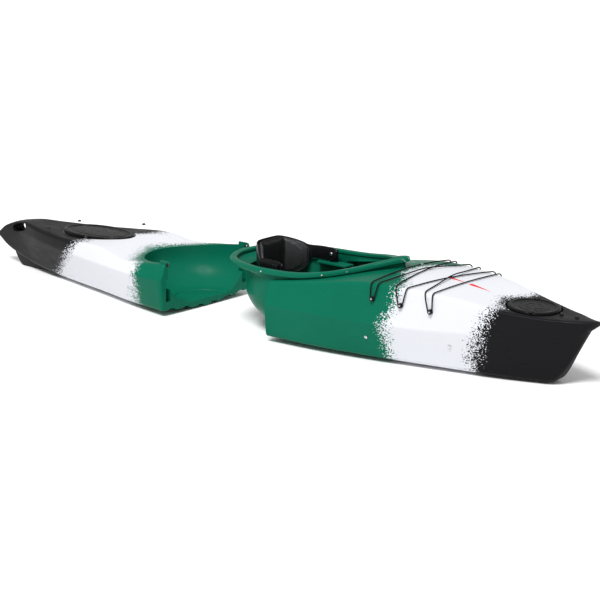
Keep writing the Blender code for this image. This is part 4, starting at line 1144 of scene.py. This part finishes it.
def stern_hatch_look():
    """Rubber lid and rim of the oval hatch, with the same grip rings as the round one."""
    lid = loft("oval_lid", stacked_oval(OVAL_LID), black_rubber)
    shade(lid, 35)
    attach(lid, "stern_lid")
    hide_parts("stern_hatch_lid")

    rim = loft("oval_rim", zip(*stacked_oval(OVAL_RIM)), black_trim, closed=True)
    shade(rim, 35)
    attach(rim, "stern_section")
    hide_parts("stern_hatch_rim")


bow_hatch_look()
stern_hatch_look()


# ---------------- deck cord
def deck_cord_look():
    """The laced deck cord, on the CAD's route."""
    first, second, third = FITTING_X
    stops = ((first, -1, -1), (first, 1, 1), (second, -1, 1), (third, 1, 1), (third, -1, -1), (second, 1, -1))
    humps = (0.0, 0.0, 0.0, 0.0, CORD_CROSSING, CORD_CROSSING)
    points = []
    for k, stop in enumerate(stops):
        points += cord_turn(*stop)
        points += cord_run(stop, stops[(k + 1) % len(stops)], humps[k])
    cord = closed_tube("laced_cord", "NURBS", points, CORD_RADIUS, 5, cord_cloth)
    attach(cord, "bow_section")
    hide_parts("deck_bungee")


deck_cord_look()


# ---------------- stage
FLOOR_HALF = 40.0
FLOOR_HEIGHT = -0.001
SKY_STRENGTH = 0.50
# Each lamp: name, direction that it shines from, spread in degrees, and strength.
LAMPS = (("key", (1.2, -3.4, 5.4), 20.0, 3.1), ("fill", (3.0, 0.5, 5.0), 60.0, 0.3))
CAMERA_PLACE = (6.972, -7.756, 2.712)
CAMERA_TARGET = (0.219, 0.0, 0.128)
CAMERA_LENS = 133.96  # millimetres, on a 36 mm sensor


def stage():
    """Pale floor, white sky, two soft lamps and the camera."""
    nodes = Nodes("pale_floor", 0.9, specular=0.1)
    nodes.colour(nodes.mix(nodes.noise(2.0, 2.0), (0.93, 0.93, 0.93, 1), (0.95, 0.95, 0.95, 1)))
    mesh = bpy.data.meshes.new("floor")
    signs = ((-1, -1), (1, -1), (1, 1), (-1, 1))
    corners = [(x * FLOOR_HALF, y * FLOOR_HALF, FLOOR_HEIGHT) for x, y in signs]
    mesh.from_pydata(corners, [], [(0, 1, 2, 3)])
    mesh.materials.append(nodes.mat)
    floor = add_object("floor", mesh)

    world = bpy.data.worlds.new("studio")
    world.use_nodes = True
    background = world.node_tree.nodes["Background"]
    background.inputs["Color"].default_value = (1, 1, 1, 1)
    background.inputs["Strength"].default_value = SKY_STRENGTH
    bpy.context.scene.world = world
    bpy.context.scene.view_settings.view_transform = "Standard"

    for name, place, spread, strength in LAMPS:
        light = bpy.data.lights.new(name, "SUN")
        light.angle = radians(spread)
        light.energy = strength
        lamp = add_object(name, light)
        lamp.location = place
        lamp.rotation_euler = Vector(place).to_track_quat("Z", "Y").to_euler()

    camera = bpy.data.cameras.new("camera")
    camera.sensor_width = 36.0
    camera.lens = CAMERA_LENS
    view = add_object("camera", camera)
    view.location = CAMERA_PLACE
    aim = Vector(CAMERA_TARGET) - view.location
    view.rotation_euler = aim.to_track_quat("-Z", "Y").to_euler()
    bpy.context.scene.camera = view


stage()
